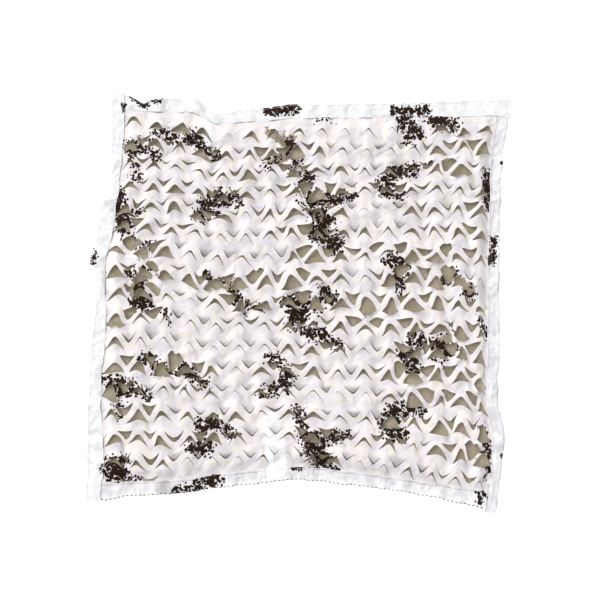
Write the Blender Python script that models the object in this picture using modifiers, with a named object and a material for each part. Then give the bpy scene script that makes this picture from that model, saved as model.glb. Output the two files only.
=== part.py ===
"""Leaf-cut camouflage netting, spread on the ground.

One square of printed cloth is cut in staggered rows of arched slits, so that it stretches into
zigzag ribbons and leaf tongues. A narrow cloth strip is folded and sewn round each edge.
Metres, +Z up, +Y towards the top edge, with the origin on the ground under the middle.
"""

import math

import bmesh
import bpy
from mathutils import Vector
from mathutils.geometry import delaunay_2d_cdt

# Cloth
NET_THICKNESS = 0.0012
TAPE_THICKNESS = 0.0010
CLEARANCE = 0.0003
FOLD_HEIGHT = NET_THICKNESS + TAPE_THICKNESS + 2 * CLEARANCE
EDGE_HEIGHT = TAPE_THICKNESS + CLEARANCE + NET_THICKNESS / 2
LAP_LIFT = TAPE_THICKNESS + CLEARANCE
LAP_ROOM = 2 * LAP_LIFT + 0.0001
NET_INSET = 0.008
EDGE_GAP = 0.003
STATION_STEP = 0.042
SAME_STATION = 0.0025

# The four strips. Each row is a station: its place along the edge, the outer fold, the inner
# edge, the lift of the strip off the ground, the extra room in its fold and the puff of its
# upper layer.
ALONG, OUTER, INNER, LIFT, ROOM, PUFF = range(6)
LEFT_STRIP = (
    (0.784, -0.700, -0.650, 0, LAP_ROOM, 0),
    (0.704, -0.700, -0.652, 0, LAP_ROOM, 0),
    (0.649, -0.698, -0.653, 0, 0, 0),
    (0.517, -0.700, -0.665, 0, 0, 0.002),
    (0.405, -0.704, -0.674, 0, 0, 0.001),
    (0.391, -0.730, -0.679, 0, 0, 0.004),
    (0.330, -0.740, -0.685, 0, 0, 0.001),
    (0.255, -0.755, -0.698, 0, 0, 0.001),
    (0.180, -0.777, -0.717, 0, 0, 0.002),
    (0.124, -0.781, -0.725, 0, 0, 0.005),
    (0.075, -0.762, -0.724, 0, 0, 0.006),
    (0.041, -0.755, -0.723, 0, 0, 0.001),
    (-0.064, -0.766, -0.721, 0, 0, 0),
    (-0.158, -0.775, -0.725, 0, 0, 0),
    (-0.251, -0.781, -0.736, 0, 0, 0.002),
    (-0.364, -0.788, -0.740, 0, 0, 0),
    (-0.514, -0.792, -0.732, 0, 0, 0),
    (-0.600, -0.794, -0.728, 0, 0, 0.001),
    (-0.655, -0.79584, -0.734, 0, LAP_ROOM, 0),
    (-0.744, -0.79584, -0.743, 0, LAP_ROOM, 0),
)
TOP_STRIP = (
    (-0.691, 0.780, 0.722, LAP_LIFT, 0, 0),
    (-0.642, 0.778, 0.722, LAP_LIFT, 0, 0),
    (-0.616, 0.767, 0.720, 0.0011, 0, 0),
    (-0.578, 0.750, 0.719, 0.0007, 0, 0),
    (-0.552, 0.761, 0.718, 0.0005, 0, 0),
    (-0.500, 0.769, 0.716, 0, 0, 0.001),
    (-0.443, 0.765, 0.715, 0, 0, 0.001),
    (-0.395, 0.776, 0.716, 0, 0, 0.004),
    (-0.376, 0.763, 0.707, 0, 0, 0.007),
    (-0.335, 0.729, 0.682, 0, 0, 0.004),
    (-0.312, 0.713, 0.671, 0, 0, 0.001),
    (-0.218, 0.722, 0.677, 0, 0, 0),
    (-0.132, 0.731, 0.682, 0, 0, 0.001),
    (0.007, 0.746, 0.694, 0, 0, 0),
    (0.194, 0.748, 0.694, 0, 0, 0),
    (0.382, 0.750, 0.698, 0, 0, 0.001),
    (0.569, 0.757, 0.698, 0, 0, 0),
    (0.682, 0.761, 0.701, 0, 0, 0),
    (0.728, 0.763, 0.702, 0, LAP_ROOM, 0),
    (0.796, 0.767, 0.693, 0, LAP_ROOM, 0),
)
RIGHT_STRIP = (
    (0.757, 0.788, 0.745, LAP_LIFT, 0, 0),
    (0.690, 0.788, 0.740, LAP_LIFT, 0, 0),
    (0.611, 0.775, 0.730, 0.0007, 0, 0),
    (0.525, 0.766, 0.721, 0, 0, 0),
    (0.386, 0.760, 0.717, 0, 0, 0.002),
    (0.236, 0.757, 0.715, 0, 0, 0),
    (0.094, 0.755, 0.710, 0, 0, 0.001),
    (0.071, 0.753, 0.710, 0, 0, 0.006),
    (0.041, 0.755, 0.710, 0, 0, 0.001),
    (-0.064, 0.757, 0.709, 0, 0, 0),
    (-0.176, 0.757, 0.709, 0, 0, 0),
    (-0.289, 0.750, 0.706, 0, 0, 0.002),
    (-0.334, 0.749, 0.704, 0, 0, 0.007),
    (-0.383, 0.751, 0.709, 0, 0, 0.003),
    (-0.439, 0.766, 0.716, 0, 0, 0.002),
    (-0.502, 0.775, 0.723, 0, 0, 0.004),
    (-0.559, 0.770, 0.725, 0, 0, 0.002),
    (-0.634, 0.760, 0.721, 0, 0, 0.003),
    (-0.686, 0.754, 0.711, 0, LAP_ROOM, 0),
    (-0.7839, 0.740, 0.697, 0, LAP_ROOM, 0),
)
BOTTOM_STRIP = (
    (-0.783, -0.742, -0.679, LAP_LIFT, 0, 0),
    (-0.728, -0.740, -0.675, LAP_LIFT, 0, 0),
    (-0.668, -0.729, -0.672, 0.0008, 0, 0),
    (-0.590, -0.722, -0.669, 0, 0, 0),
    (-0.473, -0.716, -0.664, 0, 0, 0.001),
    (-0.301, -0.693, -0.643, 0, 0, 0),
    (-0.181, -0.681, -0.630, 0, 0, 0),
    (-0.121, -0.674, -0.622, 0.001, 0, 0.002),
    (-0.095, -0.670, -0.619, 0.006, 0, 0.003),
    (-0.050, -0.664, -0.615, 0.009, 0, 0.003),
    (0.007, -0.661, -0.615, 0.006, 0, 0.002),
    (0.055, -0.667, -0.617, 0, 0, 0.001),
    (0.175, -0.681, -0.630, 0, 0, 0),
    (0.277, -0.692, -0.643, 0, 0, 0.001),
    (0.494, -0.727, -0.675, 0, 0, 0),
    (0.607, -0.752, -0.690, 0.0006, 0, 0),
    (0.683, -0.769, -0.700, LAP_LIFT, 0, 0),
    (0.734, -0.780, -0.709, LAP_LIFT, 0, 0),
)

# The slits. A row of ^ slits lies on the crests of a zigzag line and a row of v slits on the
# troughs of the line half a row below. Places across count in waves and places down in rows.
FIRST_CREST = 0.42
WAVES_ACROSS = 15.82
ROWS_ABOVE = 0.52
ROWS_LEFT = 16.62
ROWS_RIGHT = 15.82
ROW_BUNCHING = 0.30
BUNCHED_SHARE = 0.62
CREST_SLITS = 16
SLIT_ROWS = 17
LINE_DEPTH = 0.61
LINE_SHARPNESS = 0.96
CREST_HALF = 0.39
TROUGH_HALF = 0.335
CREST_MIDDLE = 0.40
TROUGH_MIDDLE = 0.75
TIP_SHARE = 0.15
LIP_SHARE = 0.45
STAGGER = 0.155
MOST_GAPS = 300
LEAST_OPENING = 0.15
CREST_REST = 0.50
TROUGH_REST = 0.26
TROUGH_LAG = 0.50
MOST_OPENING = 1.15
GAP_MARGIN = 0.010
EDGE_SHARES = (1.0, 0.75)
HOLD_REACH = 0.06
OPENING_SPREAD = 0.80
TONGUE_CURL = 0.005
LEAF_RISE = 0.004

# Where the cloth has crept along the ground: the middle of each patch, its half sizes and how
# far it has moved across and up.
CREEPS = (
    (-0.03, 0.15, 0.26, 0.14, 0.022, -0.004),
    (0.21, -0.31, 0.26, 0.19, 0.026, -0.011),
    (0.49, -0.27, 0.19, 0.21, 0.019, 0.037),
    (0.66, -0.25, 0.15, 0.28, 0.004, 0.026),
    (0.51, 0.24, 0.28, 0.15, 0.007, 0.030),
    (-0.65, 0.05, 0.22, 0.26, 0.004, 0.030),
    (-0.56, -0.23, 0.34, 0.19, 0.006, 0.017),
    (0.33, 0.01, 0.19, 0.11, 0.015, 0.015),
    (-0.64, 0.69, 0.09, 0.08, 0.000, 0.019),
    (0.63, 0.55, 0.11, 0.09, 0.015, 0.019),
)

# Where the net is pulled open: the middle of each patch, its half sizes and its opening.
STRETCHED = (
    (-0.62, 0.69, 0.07, 0.05, 0.80),
    (-0.45, 0.67, 0.09, 0.05, 0.90),
    (-0.58, 0.60, 0.10, 0.06, 0.95),
    (-0.50, 0.44, 0.12, 0.12, 0.65),
    (-0.33, 0.42, 0.06, 0.05, 0.65),
    (-0.22, 0.42, 0.05, 0.05, 0.55),
    (-0.33, 0.53, 0.07, 0.05, 0.70),
    (-0.64, 0.34, 0.07, 0.10, 0.80),
    (-0.45, 0.32, 0.06, 0.05, 0.95),
    (-0.33, 0.32, 0.07, 0.05, 1.25),
    (-0.20, 0.48, 0.07, 0.04, 0.80),
    (-0.10, 0.31, 0.06, 0.05, 0.85),
    (-0.06, 0.58, 0.10, 0.08, 1.05),
    (0.03, 0.42, 0.09, 0.10, 0.95),
    (0.00, 0.30, 0.08, 0.06, 1.05),
    (0.01, 0.19, 0.07, 0.06, 1.40),
    (0.12, 0.20, 0.05, 0.05, 1.00),
    (-0.67, 0.20, 0.08, 0.05, 1.30),
    (-0.55, 0.19, 0.08, 0.06, 1.35),
    (-0.56, 0.09, 0.07, 0.05, 1.55),
    (-0.67, 0.08, 0.06, 0.06, 1.10),
    (-0.67, -0.02, 0.06, 0.06, 1.20),
    (-0.56, -0.01, 0.06, 0.05, 1.10),
    (-0.44, 0.09, 0.05, 0.05, 0.75),
    (-0.33, 0.08, 0.07, 0.05, 1.35),
    (-0.22, 0.08, 0.07, 0.05, 1.70),
    (-0.11, 0.08, 0.06, 0.05, 1.15),
    (0.01, 0.08, 0.06, 0.06, 1.50),
    (0.12, 0.10, 0.05, 0.05, 0.85),
    (-0.22, -0.02, 0.08, 0.05, 1.00),
    (-0.09, -0.02, 0.07, 0.05, 0.90),
    (0.01, -0.02, 0.07, 0.05, 1.10),
    (0.46, 0.65, 0.07, 0.05, 0.85),
    (0.58, 0.66, 0.10, 0.05, 1.20),
    (0.67, 0.64, 0.09, 0.08, 1.25),
    (0.57, 0.54, 0.08, 0.07, 1.15),
    (0.16, 0.49, 0.06, 0.05, 0.80),
    (0.13, 0.42, 0.06, 0.05, 0.85),
    (0.12, 0.31, 0.05, 0.05, 0.90),
    (0.35, 0.43, 0.12, 0.05, 0.80),
    (0.47, 0.32, 0.08, 0.05, 0.90),
    (0.67, 0.32, 0.06, 0.09, 0.80),
    (0.23, 0.22, 0.07, 0.05, 1.00),
    (0.46, 0.21, 0.07, 0.06, 1.35),
    (0.58, 0.20, 0.07, 0.06, 1.10),
    (0.70, 0.20, 0.05, 0.04, 0.90),
    (0.46, 0.09, 0.09, 0.06, 1.00),
    (0.57, 0.08, 0.07, 0.06, 1.25),
    (0.35, 0.08, 0.07, 0.05, 1.40),
    (0.68, -0.02, 0.05, 0.05, 1.10),
    (0.27, -0.02, 0.13, 0.06, 1.15),
    (0.46, -0.03, 0.11, 0.06, 1.15),
    (0.12, -0.13, 0.07, 0.05, 0.75),
    (0.58, -0.14, 0.09, 0.08, 1.20),
    (0.45, -0.15, 0.08, 0.06, 1.10),
    (0.49, -0.26, 0.16, 0.06, 1.20),
    (0.67, -0.34, 0.07, 0.10, 1.15),
    (0.56, -0.36, 0.06, 0.05, 1.15),
    (0.46, -0.36, 0.07, 0.06, 1.00),
    (0.56, -0.48, 0.09, 0.06, 1.10),
    (0.69, -0.47, 0.06, 0.06, 0.90),
    (0.68, -0.58, 0.06, 0.06, 1.60),
    (0.56, -0.59, 0.06, 0.05, 0.90),
    (0.34, -0.47, 0.09, 0.05, 0.90),
    (0.24, -0.50, 0.04, 0.03, 0.70),
    (0.40, -0.42, 0.14, 0.08, 0.55),
    (-0.68, -0.14, 0.06, 0.06, 0.80),
    (-0.67, -0.25, 0.07, 0.05, 1.15),
    (-0.55, -0.24, 0.07, 0.05, 0.90),
    (-0.44, -0.25, 0.07, 0.05, 1.50),
    (-0.33, -0.25, 0.05, 0.05, 0.85),
    (-0.10, -0.25, 0.07, 0.05, 0.80),
    (-0.11, -0.36, 0.05, 0.04, 0.80),
    (0.34, -0.36, 0.05, 0.04, 0.80),
    (0.67, -0.24, 0.06, 0.05, 1.10),
    (-0.69, -0.37, 0.06, 0.07, 1.10),
    (-0.56, -0.40, 0.12, 0.05, 0.70),
    (-0.68, -0.48, 0.06, 0.06, 1.15),
    (-0.52, -0.48, 0.16, 0.06, 0.80),
    (-0.66, -0.59, 0.08, 0.06, 1.00),
    (-0.55, -0.60, 0.06, 0.05, 0.75),
    (-0.33, -0.48, 0.08, 0.06, 0.80),
    (0.06, -0.20, 0.08, 0.06, 0.80),
    (0.01, -0.47, 0.07, 0.06, 0.80),
    (0.12, -0.47, 0.06, 0.05, 0.65),
    (0.11, -0.58, 0.06, 0.05, 0.80),
)

# Where the net lies shut: the middle of each patch and its half sizes.
SHUT = (
    (0.34, 0.32, 0.06, 0.05),
    (-0.44, 0.21, 0.04, 0.04),
    (-0.33, 0.20, 0.06, 0.04),
    (-0.22, 0.20, 0.06, 0.05),
    (-0.11, 0.20, 0.06, 0.04),
    (0.23, 0.09, 0.05, 0.04),
    (0.69, 0.09, 0.05, 0.04),
    (-0.44, -0.02, 0.06, 0.04),
    (-0.55, -0.13, 0.06, 0.04),
    (-0.37, -0.14, 0.12, 0.05),
    (-0.22, -0.25, 0.06, 0.05),
    (0.12, -0.36, 0.06, 0.05),
    (0.23, -0.36, 0.06, 0.05),
    (0.23, -0.58, 0.06, 0.05),
)

# How the stretched parts are pulled askew: wave length, direction in degrees, start and how far.
TUGS = (
    (0.125, 25, 0.7, 0.0052),
    (0.104, 112, 2.9, 0.0046),
    (0.083, 70, 4.4, 0.0026),
)

# How the cloth lies: its usual height, the run-in from the strips, long low swells (wave length,
# direction in degrees, start, height) and soft ridges (both ends, half width, height).
LIE_HEIGHT = 0.008
RUN_IN = 0.045
LEAF_MARGIN = 0.0225
SWELLS = (
    (0.34, 20, 0, 0.0016),
    (0.23, 105, 0, 0.0014),
    (0.17, 60, 0, 0.0009),
)
RIDGES = (
    (0.037, -0.66, 0.045, -0.50, 0.050, 0.018),
    (-0.095, -0.64, -0.100, -0.53, 0.022, 0.006),
    (-0.345, 0.70, -0.280, 0.64, 0.030, 0.007),
    (-0.520, 0.70, -0.500, 0.62, 0.026, 0.005),
    (-0.700, 0.12, -0.600, 0.08, 0.030, 0.006),
    (0.690, 0.07, 0.620, 0.05, 0.026, 0.005),
    (0.690, -0.33, 0.640, -0.36, 0.026, 0.006),
)

CLOTH_COLOUR = (0.83, 0.81, 0.82, 1)
TAPE_COLOUR = (0.86, 0.86, 0.88, 1)


def clear_scene():
    for leftover in list(bpy.data.objects):
        bpy.data.objects.remove(leftover)


def smooth_step(t):
    t = min(max(t, 0.0), 1.0)
    return t * t * (3 - 2 * t)


def scatter(across, down, salt):
    """A repeatable value from 0 to 1 for one slit."""
    value = math.sin(across * 12.9898 + down * 78.233 + salt * 37.719) * 43758.5453
    return value - math.floor(value)


def slopes(places, values):
    """Slopes of a curve through the values that never overshoots them."""
    steps = [
        (values[k + 1] - values[k]) / (places[k + 1] - places[k])
        for k in range(len(places) - 1)
    ]
    inside = [
        2 * a * b / (a + b) if a * b > 0 else 0.0
        for a, b in zip(steps, steps[1:])
    ]
    return [steps[0]] + inside + [steps[-1]]


class Strip:
    """One edge strip's shape as curves along its edge."""

    def __init__(self, stations):
        rows = sorted(stations)
        self.places = [row[ALONG] for row in rows]
        self.columns = []
        for column in range(len(rows[0])):
            values = [row[column] for row in rows]
            self.columns.append((values, slopes(self.places, values)))

    def at(self, column, place):
        places = self.places
        place = min(max(place, places[0]), places[-1])
        k = max(k for k in range(len(places) - 1) if places[k] <= place)
        width = places[k + 1] - places[k]
        t = (place - places[k]) / width
        values, tangents = self.columns[column]
        return (
            (2 * t**3 - 3 * t**2 + 1) * values[k]
            + (t**3 - 2 * t**2 + t) * width * tangents[k]
            + (3 * t**2 - 2 * t**3) * values[k + 1]
            + (t**3 - t**2) * width * tangents[k + 1]
        )

    def stations(self):
        """The table's places, with more between them where they lie far apart."""
        found = [self.places[0]]
        for start, end in zip(self.places, self.places[1:]):
            count = math.ceil((end - start) / STATION_STEP)
            found += [start + (end - start) * (k + 1) / count for k in range(count)]
        return found

    def net_height(self, place):
        """Middle height of the net's edge inside the fold."""
        lap = self.at(ROOM, place) / LAP_ROOM * LAP_LIFT
        return EDGE_HEIGHT + self.at(LIFT, place) + lap


LEFT = Strip(LEFT_STRIP)
TOP = Strip(TOP_STRIP)
RIGHT = Strip(RIGHT_STRIP)
BOTTOM = Strip(BOTTOM_STRIP)


def make_material(name, colour, roughness):
    material = bpy.data.materials.new(name)
    material.use_nodes = True
    shader = material.node_tree.nodes["Principled BSDF"]
    shader.inputs["Base Color"].default_value = colour
    shader.inputs["Roughness"].default_value = roughness
    shader.inputs["Metallic"].default_value = 0.0
    return material


def add_object(name, mesh, material, collection, thickness):
    made = bpy.data.objects.new(name, mesh)
    made.data.materials.append(material)
    collection.objects.link(made)
    shell = made.modifiers.new("Cloth thickness", "SOLIDIFY")
    shell.thickness = thickness
    shell.offset = 0
    shell.use_even_offset = True
    shell.use_quality_normals = True
    return made


def strip_section(strip, place):
    """Across and height of the seven points of a strip's folded section, bottom to top."""
    outer = strip.at(OUTER, place)
    inner = strip.at(INNER, place)
    side = math.copysign(1, outer - inner)
    height = FOLD_HEIGHT + strip.at(ROOM, place)
    low = TAPE_THICKNESS / 2 + strip.at(LIFT, place)
    high = low + height
    puff = strip.at(PUFF, place)
    edge = outer - side * TAPE_THICKNESS / 2
    bend = edge - side * height / 2
    middle = (bend + inner) / 2
    return (
        (inner, low),
        (middle, low),
        (bend, low),
        (edge, low + height / 2),
        (bend, high + puff / 4),
        (middle, high + puff),
        (inner, high + puff / 4),
    )


def make_strip(name, strip, runs_across, material, collection):
    """A strip folded round one edge of the net, as a grid bent to its sections."""
    places = strip.stations()
    sections = [strip_section(strip, place) for place in places]
    points_across = len(sections[0])
    shape = bmesh.new()
    bmesh.ops.create_grid(
        shape,
        x_segments=len(places) - 1,
        y_segments=points_across - 1,
        size=0.5,
    )
    for vert in shape.verts:
        k = round((vert.co.x + 0.5) * (len(places) - 1))
        across, height = sections[k][round((vert.co.y + 0.5) * (points_across - 1))]
        if runs_across:
            vert.co = (places[k], across, height)
        else:
            vert.co = (across, places[k], height)
    mesh = bpy.data.meshes.new(name)
    shape.to_mesh(mesh)
    shape.free()
    return add_object(name, mesh, material, collection, TAPE_THICKNESS)


def meeting(upright, level, column, inset):
    """Where the edge lines of an upright and a level strip cross, both moved into the net."""
    x = upright.at(column, 0)
    for _ in range(8):
        y = level.at(column, x)
        y -= math.copysign(inset, y)
        x = upright.at(column, y)
        x -= math.copysign(inset, x)
    return Vector((x, y))


def corners(column, inset):
    """Top left, top right, bottom right and bottom left."""
    return (
        meeting(LEFT, TOP, column, inset),
        meeting(RIGHT, TOP, column, inset),
        meeting(RIGHT, BOTTOM, column, inset),
        meeting(LEFT, BOTTOM, column, inset),
    )


def net_edge():
    """Two matching loops, clockwise from the top left: the net's outline and its clear edge."""
    outline = []
    clear = []
    outer_corners = corners(OUTER, NET_INSET)
    inner_corners = corners(INNER, EDGE_GAP)
    lap_height = EDGE_HEIGHT + LAP_LIFT
    for side, strip in enumerate((TOP, RIGHT, BOTTOM, LEFT)):
        level = side in (0, 2)
        start = inner_corners[side]
        end = inner_corners[(side + 1) % 4]
        first = start.x if level else start.y
        last = end.x if level else end.y
        outline.append(outer_corners[side].to_3d() + Vector((0, 0, lap_height)))
        clear.append(start.to_3d() + Vector((0, 0, lap_height)))
        places = [
            place
            for place in strip.stations()
            if min(first, last) + SAME_STATION < place < max(first, last) - SAME_STATION
        ]
        for place in sorted(places, reverse=last < first):
            height = strip.net_height(place)
            for loop, column, inset in ((outline, OUTER, NET_INSET), (clear, INNER, EDGE_GAP)):
                across = strip.at(column, place)
                across -= math.copysign(inset, across)
                spot = (place, across) if level else (across, place)
                loop.append(Vector((*spot, height)))
    return outline, clear


def zigzag(across):
    """From 1 on a crest to -1 in a trough, straight between them and rounded at both."""
    wave = math.asin(LINE_SHARPNESS * math.cos(2 * math.pi * across))
    return wave / math.asin(LINE_SHARPNESS)


def pull_at(spot):
    """How far the net is pulled open at a plan point, from the table of patches."""
    pull = 0.0
    for x, y, half_x, half_y, opening in STRETCHED:
        reach = ((spot.x - x) / half_x) ** 2 + ((spot.y - y) / half_y) ** 2
        pull = max(pull, opening * math.exp(-0.5 * reach))
    return pull * (1 - shut_at(spot))


def shut_at(spot):
    """How firmly the net lies shut at a plan point, from 0 to 1."""
    shut = 0.0
    for x, y, half_x, half_y in SHUT:
        reach = ((spot.x - x) / half_x) ** 2 + ((spot.y - y) / half_y) ** 2
        shut = max(shut, math.exp(-0.5 * reach))
    return shut


def waves(x, y, table):
    """The sum of plane waves, one from each row: wave length, degrees, start and height."""
    total = 0.0
    for length, degrees, start, height in table:
        angle = math.radians(degrees)
        phase = (x * math.cos(angle) + y * math.sin(angle)) / length
        total += height * math.sin(2 * math.pi * phase + start)
    return total


def crept(spot):
    """Moves a plan point with the cloth, along the strips but not over them."""
    distances = edge_distances(spot)
    hold_x = smooth_step(min(distances[LEFT], distances[RIGHT]) / HOLD_REACH)
    hold_y = smooth_step(min(distances[TOP], distances[BOTTOM]) / HOLD_REACH)
    moved = Vector((0, 0))
    for x, y, half_x, half_y, move_x, move_y in CREEPS:
        reach = ((spot.x - x) / half_x) ** 2 + ((spot.y - y) / half_y) ** 2
        moved += Vector((move_x, move_y)) * math.exp(-0.5 * reach)
    pull = min(pull_at(spot + moved), 1.0)
    moved += Vector((waves(spot.x, spot.y, TUGS), waves(spot.y, -spot.x, TUGS))) * pull
    return spot + Vector((moved.x * hold_x, moved.y * hold_y))


def lattice_point(across, down):
    """The plan place of a wave and row, stretched between the strips' inner edges."""
    corner_points = corners(INNER, 0)
    top_left, top_right, bottom_right, bottom_left = corner_points
    s = (across + FIRST_CREST) / WAVES_ACROSS
    rows = ROWS_LEFT + (ROWS_RIGHT - ROWS_LEFT) * s
    t = (down + ROWS_ABOVE) / rows
    t -= ROW_BUNCHING / rows * math.sin(math.pi * min(max(t / BUNCHED_SHARE, 0.0), 1.0))
    top_x = top_left.x + (top_right.x - top_left.x) * s
    bottom_x = bottom_left.x + (bottom_right.x - bottom_left.x) * s
    left_y = top_left.y + (bottom_left.y - top_left.y) * t
    right_y = top_right.y + (bottom_right.y - top_right.y) * t
    top = Vector((top_x, TOP.at(INNER, top_x)))
    bottom = Vector((bottom_x, BOTTOM.at(INNER, bottom_x)))
    left = Vector((LEFT.at(INNER, left_y), left_y))
    right = Vector((RIGHT.at(INNER, right_y), right_y))
    ruled = top * (1 - t) + bottom * t + left * (1 - s) + right * s
    flat = (top_left * (1 - s) + top_right * s) * (1 - t)
    flat += (bottom_left * (1 - s) + bottom_right * s) * t
    return crept(ruled - flat)


def edge_distances(spot):
    """How far a plan point lies inside each strip's inner edge."""
    return {
        TOP: TOP.at(INNER, spot.x) - spot.y,
        BOTTOM: spot.y - BOTTOM.at(INNER, spot.x),
        LEFT: spot.x - LEFT.at(INNER, spot.y),
        RIGHT: RIGHT.at(INNER, spot.y) - spot.x,
    }


def ridge_height(spot):
    height = 0.0
    for x0, y0, x1, y1, half_width, rise in RIDGES:
        start = Vector((x0, y0))
        run = Vector((x1, y1)) - start
        t = min(max((spot - start).dot(run) / run.length_squared, 0.0), 1.0)
        distance = (spot - start - run * t).length
        height += rise * math.exp(-((distance / half_width) ** 2))
    return height


def lie_height(spot):
    """Middle height of the cloth where it lies inside the strips."""
    distances = edge_distances(spot)
    edge = EDGE_HEIGHT
    for strip, distance in distances.items():
        place = spot.x if strip in (TOP, BOTTOM) else spot.y
        lifted = strip.net_height(place) - EDGE_HEIGHT
        edge += lifted * (1 - smooth_step(distance / RUN_IN))
    blend = smooth_step((min(distances.values()) - EDGE_GAP) / RUN_IN)
    free = LIE_HEIGHT + waves(spot.x, spot.y, SWELLS) + ridge_height(spot)
    return edge * (1 - blend) + max(free, edge) * blend


def opening_at(spot, across, down, flips):
    """How far a slit is pulled open: 0 is shut and 1 is a straight-bottomed gap."""
    salt = 1 + flips
    rest = TROUGH_REST if flips else CREST_REST
    rest *= scatter(across, down, salt + 2) ** 2 * (1 - shut_at(spot))
    pull = max(rest, pull_at(spot))
    if flips:
        pull *= smooth_step(pull / TROUGH_LAG)
    pull *= 1 + OPENING_SPREAD * (scatter(across, down, salt) - 0.5)
    return min(pull, MOST_OPENING)


def slit_points(centre, row, half, flips, opening):
    """A gap's six points in waves and rows. The cut lip is straight when it is fully open."""
    shift = STAGGER * opening if flips else 0.0

    def line(across):
        return row + shift + LINE_DEPTH * (1 - zigzag(across)) / 2

    chord = line(centre + half)
    points = []
    for share in (-1, -TIP_SHARE, TIP_SHARE, 1):
        points.append((centre + half * share, line(centre + half * share), 0))
    for share in (LIP_SHARE, -LIP_SHARE):
        kept = line(centre + half * share)
        points.append((centre + half * share, kept + opening * (chord - kept), 1))
    return points


def all_slits():
    """Each slit's opening, middle and measures, from the most to the least open."""
    slits = []
    for j in range(SLIT_ROWS):
        for i in range(CREST_SLITS):
            for flips in (False, True):
                centre = i + 0.5 * flips
                row = j + 0.5 * flips
                half = TROUGH_HALF if flips else CREST_HALF
                middle_share = TROUGH_MIDDLE if flips else CREST_MIDDLE
                middle = lattice_point(centre, row + LINE_DEPTH * middle_share)
                opening = opening_at(middle, i, j, flips)
                slits.append((opening, middle, (centre, row, half, flips)))
    slits.sort(key=lambda slit: -slit[0])
    return slits


def gap_loop(points, opening):
    """A gap's corners in space, with the cut tongue curled up."""
    loop = []
    for across, down, moved in points:
        spot = lattice_point(across, down)
        height = lie_height(spot) + TONGUE_CURL * opening * moved
        loop.append(Vector((*spot, height)))
    return loop


def well_inside(spot, margin):
    return min(edge_distances(spot).values()) > margin


def clear_gap(slit, opening):
    """The slit's gap, cut shorter beside a strip, or nothing where it would run under one."""
    centre, row, half, flips = slit
    for share in EDGE_SHARES:
        loop = gap_loop(slit_points(centre, row, half * share, flips, opening), opening)
        if all(well_inside(corner.xy, GAP_MARGIN) for corner in loop):
            return loop
    return None


def net_loops():
    """The gaps that are cut through, and a raised point on each leaf that lies shut."""
    gaps = []
    leaves = []
    for opening, middle, slit in all_slits():
        loop = None
        if opening > LEAST_OPENING and len(gaps) < MOST_GAPS:
            loop = clear_gap(slit, opening)
        if loop:
            gaps.append(loop)
        elif well_inside(middle, LEAF_MARGIN):
            leaves.append(Vector((*middle, lie_height(middle) + LEAF_RISE)))
    return gaps, leaves


def add_triangles(shape, points, triangles):
    """Adds triangles between the points, with their upper sides up."""
    verts = [shape.verts.new(point) for point in points]
    for triangle in triangles:
        shape.faces.new([verts[k] for k in triangle])


def make_net(material, collection):
    """The slit cloth: its edge band inside the strips and the cut field between them."""
    outline, clear = net_edge()
    shape = bmesh.new()
    count = len(outline)
    band = []
    for k in range(count):
        after = (k + 1) % count
        band.append((k, after, count + after))
        band.append((k, count + after, count + k))
    add_triangles(shape, outline + clear, band)
    gaps, leaves = net_loops()
    loops = [clear] + gaps
    points = [point for loop in loops for point in loop]
    faces = []
    start = 0
    for loop in loops:
        faces.append(list(range(start, start + len(loop))))
        start += len(loop)
    points += leaves
    flat_points = [point.xy for point in points]
    _, _, triangles, sources, _, _ = delaunay_2d_cdt(flat_points, [], faces, 2, 1e-6)
    field = [points[source[0]] for source in sources]
    add_triangles(shape, field, triangles)
    bmesh.ops.remove_doubles(shape, verts=shape.verts, dist=1e-6)
    bmesh.ops.recalc_face_normals(shape, faces=shape.faces)
    mesh = bpy.data.meshes.new("net")
    shape.to_mesh(mesh)
    shape.free()
    return add_object("net", mesh, material, collection, NET_THICKNESS)


def main():
    clear_scene()
    collection = bpy.data.collections.new("Camouflage netting")
    bpy.context.scene.collection.children.link(collection)
    cloth = make_material("Printed cloth", CLOTH_COLOUR, 0.8)
    tape = make_material("Edge cloth", TAPE_COLOUR, 0.75)
    make_net(cloth, collection)
    make_strip("top_binding", TOP, True, tape, collection)
    make_strip("right_binding", RIGHT, False, tape, collection)
    make_strip("bottom_binding", BOTTOM, True, tape, collection)
    make_strip("left_binding", LEFT, False, tape, collection)


main()
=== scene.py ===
"""Looks of the leaf-cut camouflage netting: its slit cloth, its folded edge strips and its print.

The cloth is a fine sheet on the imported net's own lattice. Its slits are parted where the net is
pulled open, and its leaves curl up or dip elsewhere. Metres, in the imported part's frame.
"""

import math

import bmesh
import bpy
import numpy as np
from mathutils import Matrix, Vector


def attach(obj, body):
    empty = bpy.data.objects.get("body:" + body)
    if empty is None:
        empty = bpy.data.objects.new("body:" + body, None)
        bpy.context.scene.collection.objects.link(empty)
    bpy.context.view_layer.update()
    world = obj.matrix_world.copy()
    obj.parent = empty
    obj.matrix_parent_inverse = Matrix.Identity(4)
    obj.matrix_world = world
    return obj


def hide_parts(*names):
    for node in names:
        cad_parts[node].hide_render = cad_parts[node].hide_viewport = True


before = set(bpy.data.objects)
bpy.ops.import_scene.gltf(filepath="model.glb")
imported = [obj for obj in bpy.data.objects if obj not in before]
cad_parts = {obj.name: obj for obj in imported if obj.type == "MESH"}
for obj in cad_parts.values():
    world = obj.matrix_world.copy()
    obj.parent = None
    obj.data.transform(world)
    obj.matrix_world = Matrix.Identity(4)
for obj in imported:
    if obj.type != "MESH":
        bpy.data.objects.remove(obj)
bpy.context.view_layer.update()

# Cloth: its thicknesses, the lift and room of the strips where they lap at the corners, the
# heights of the net's edge, of a fold and of a strip's lower layer, the runs over which the net
# leaves the strips' hold, and the angle in degrees past which an edge looks crisp.
NET_THICKNESS = 0.0007
TAPE_THICKNESS = 0.0009
LAP_LIFT = 0.0013
LAP_ROOM = 0.0027
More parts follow.
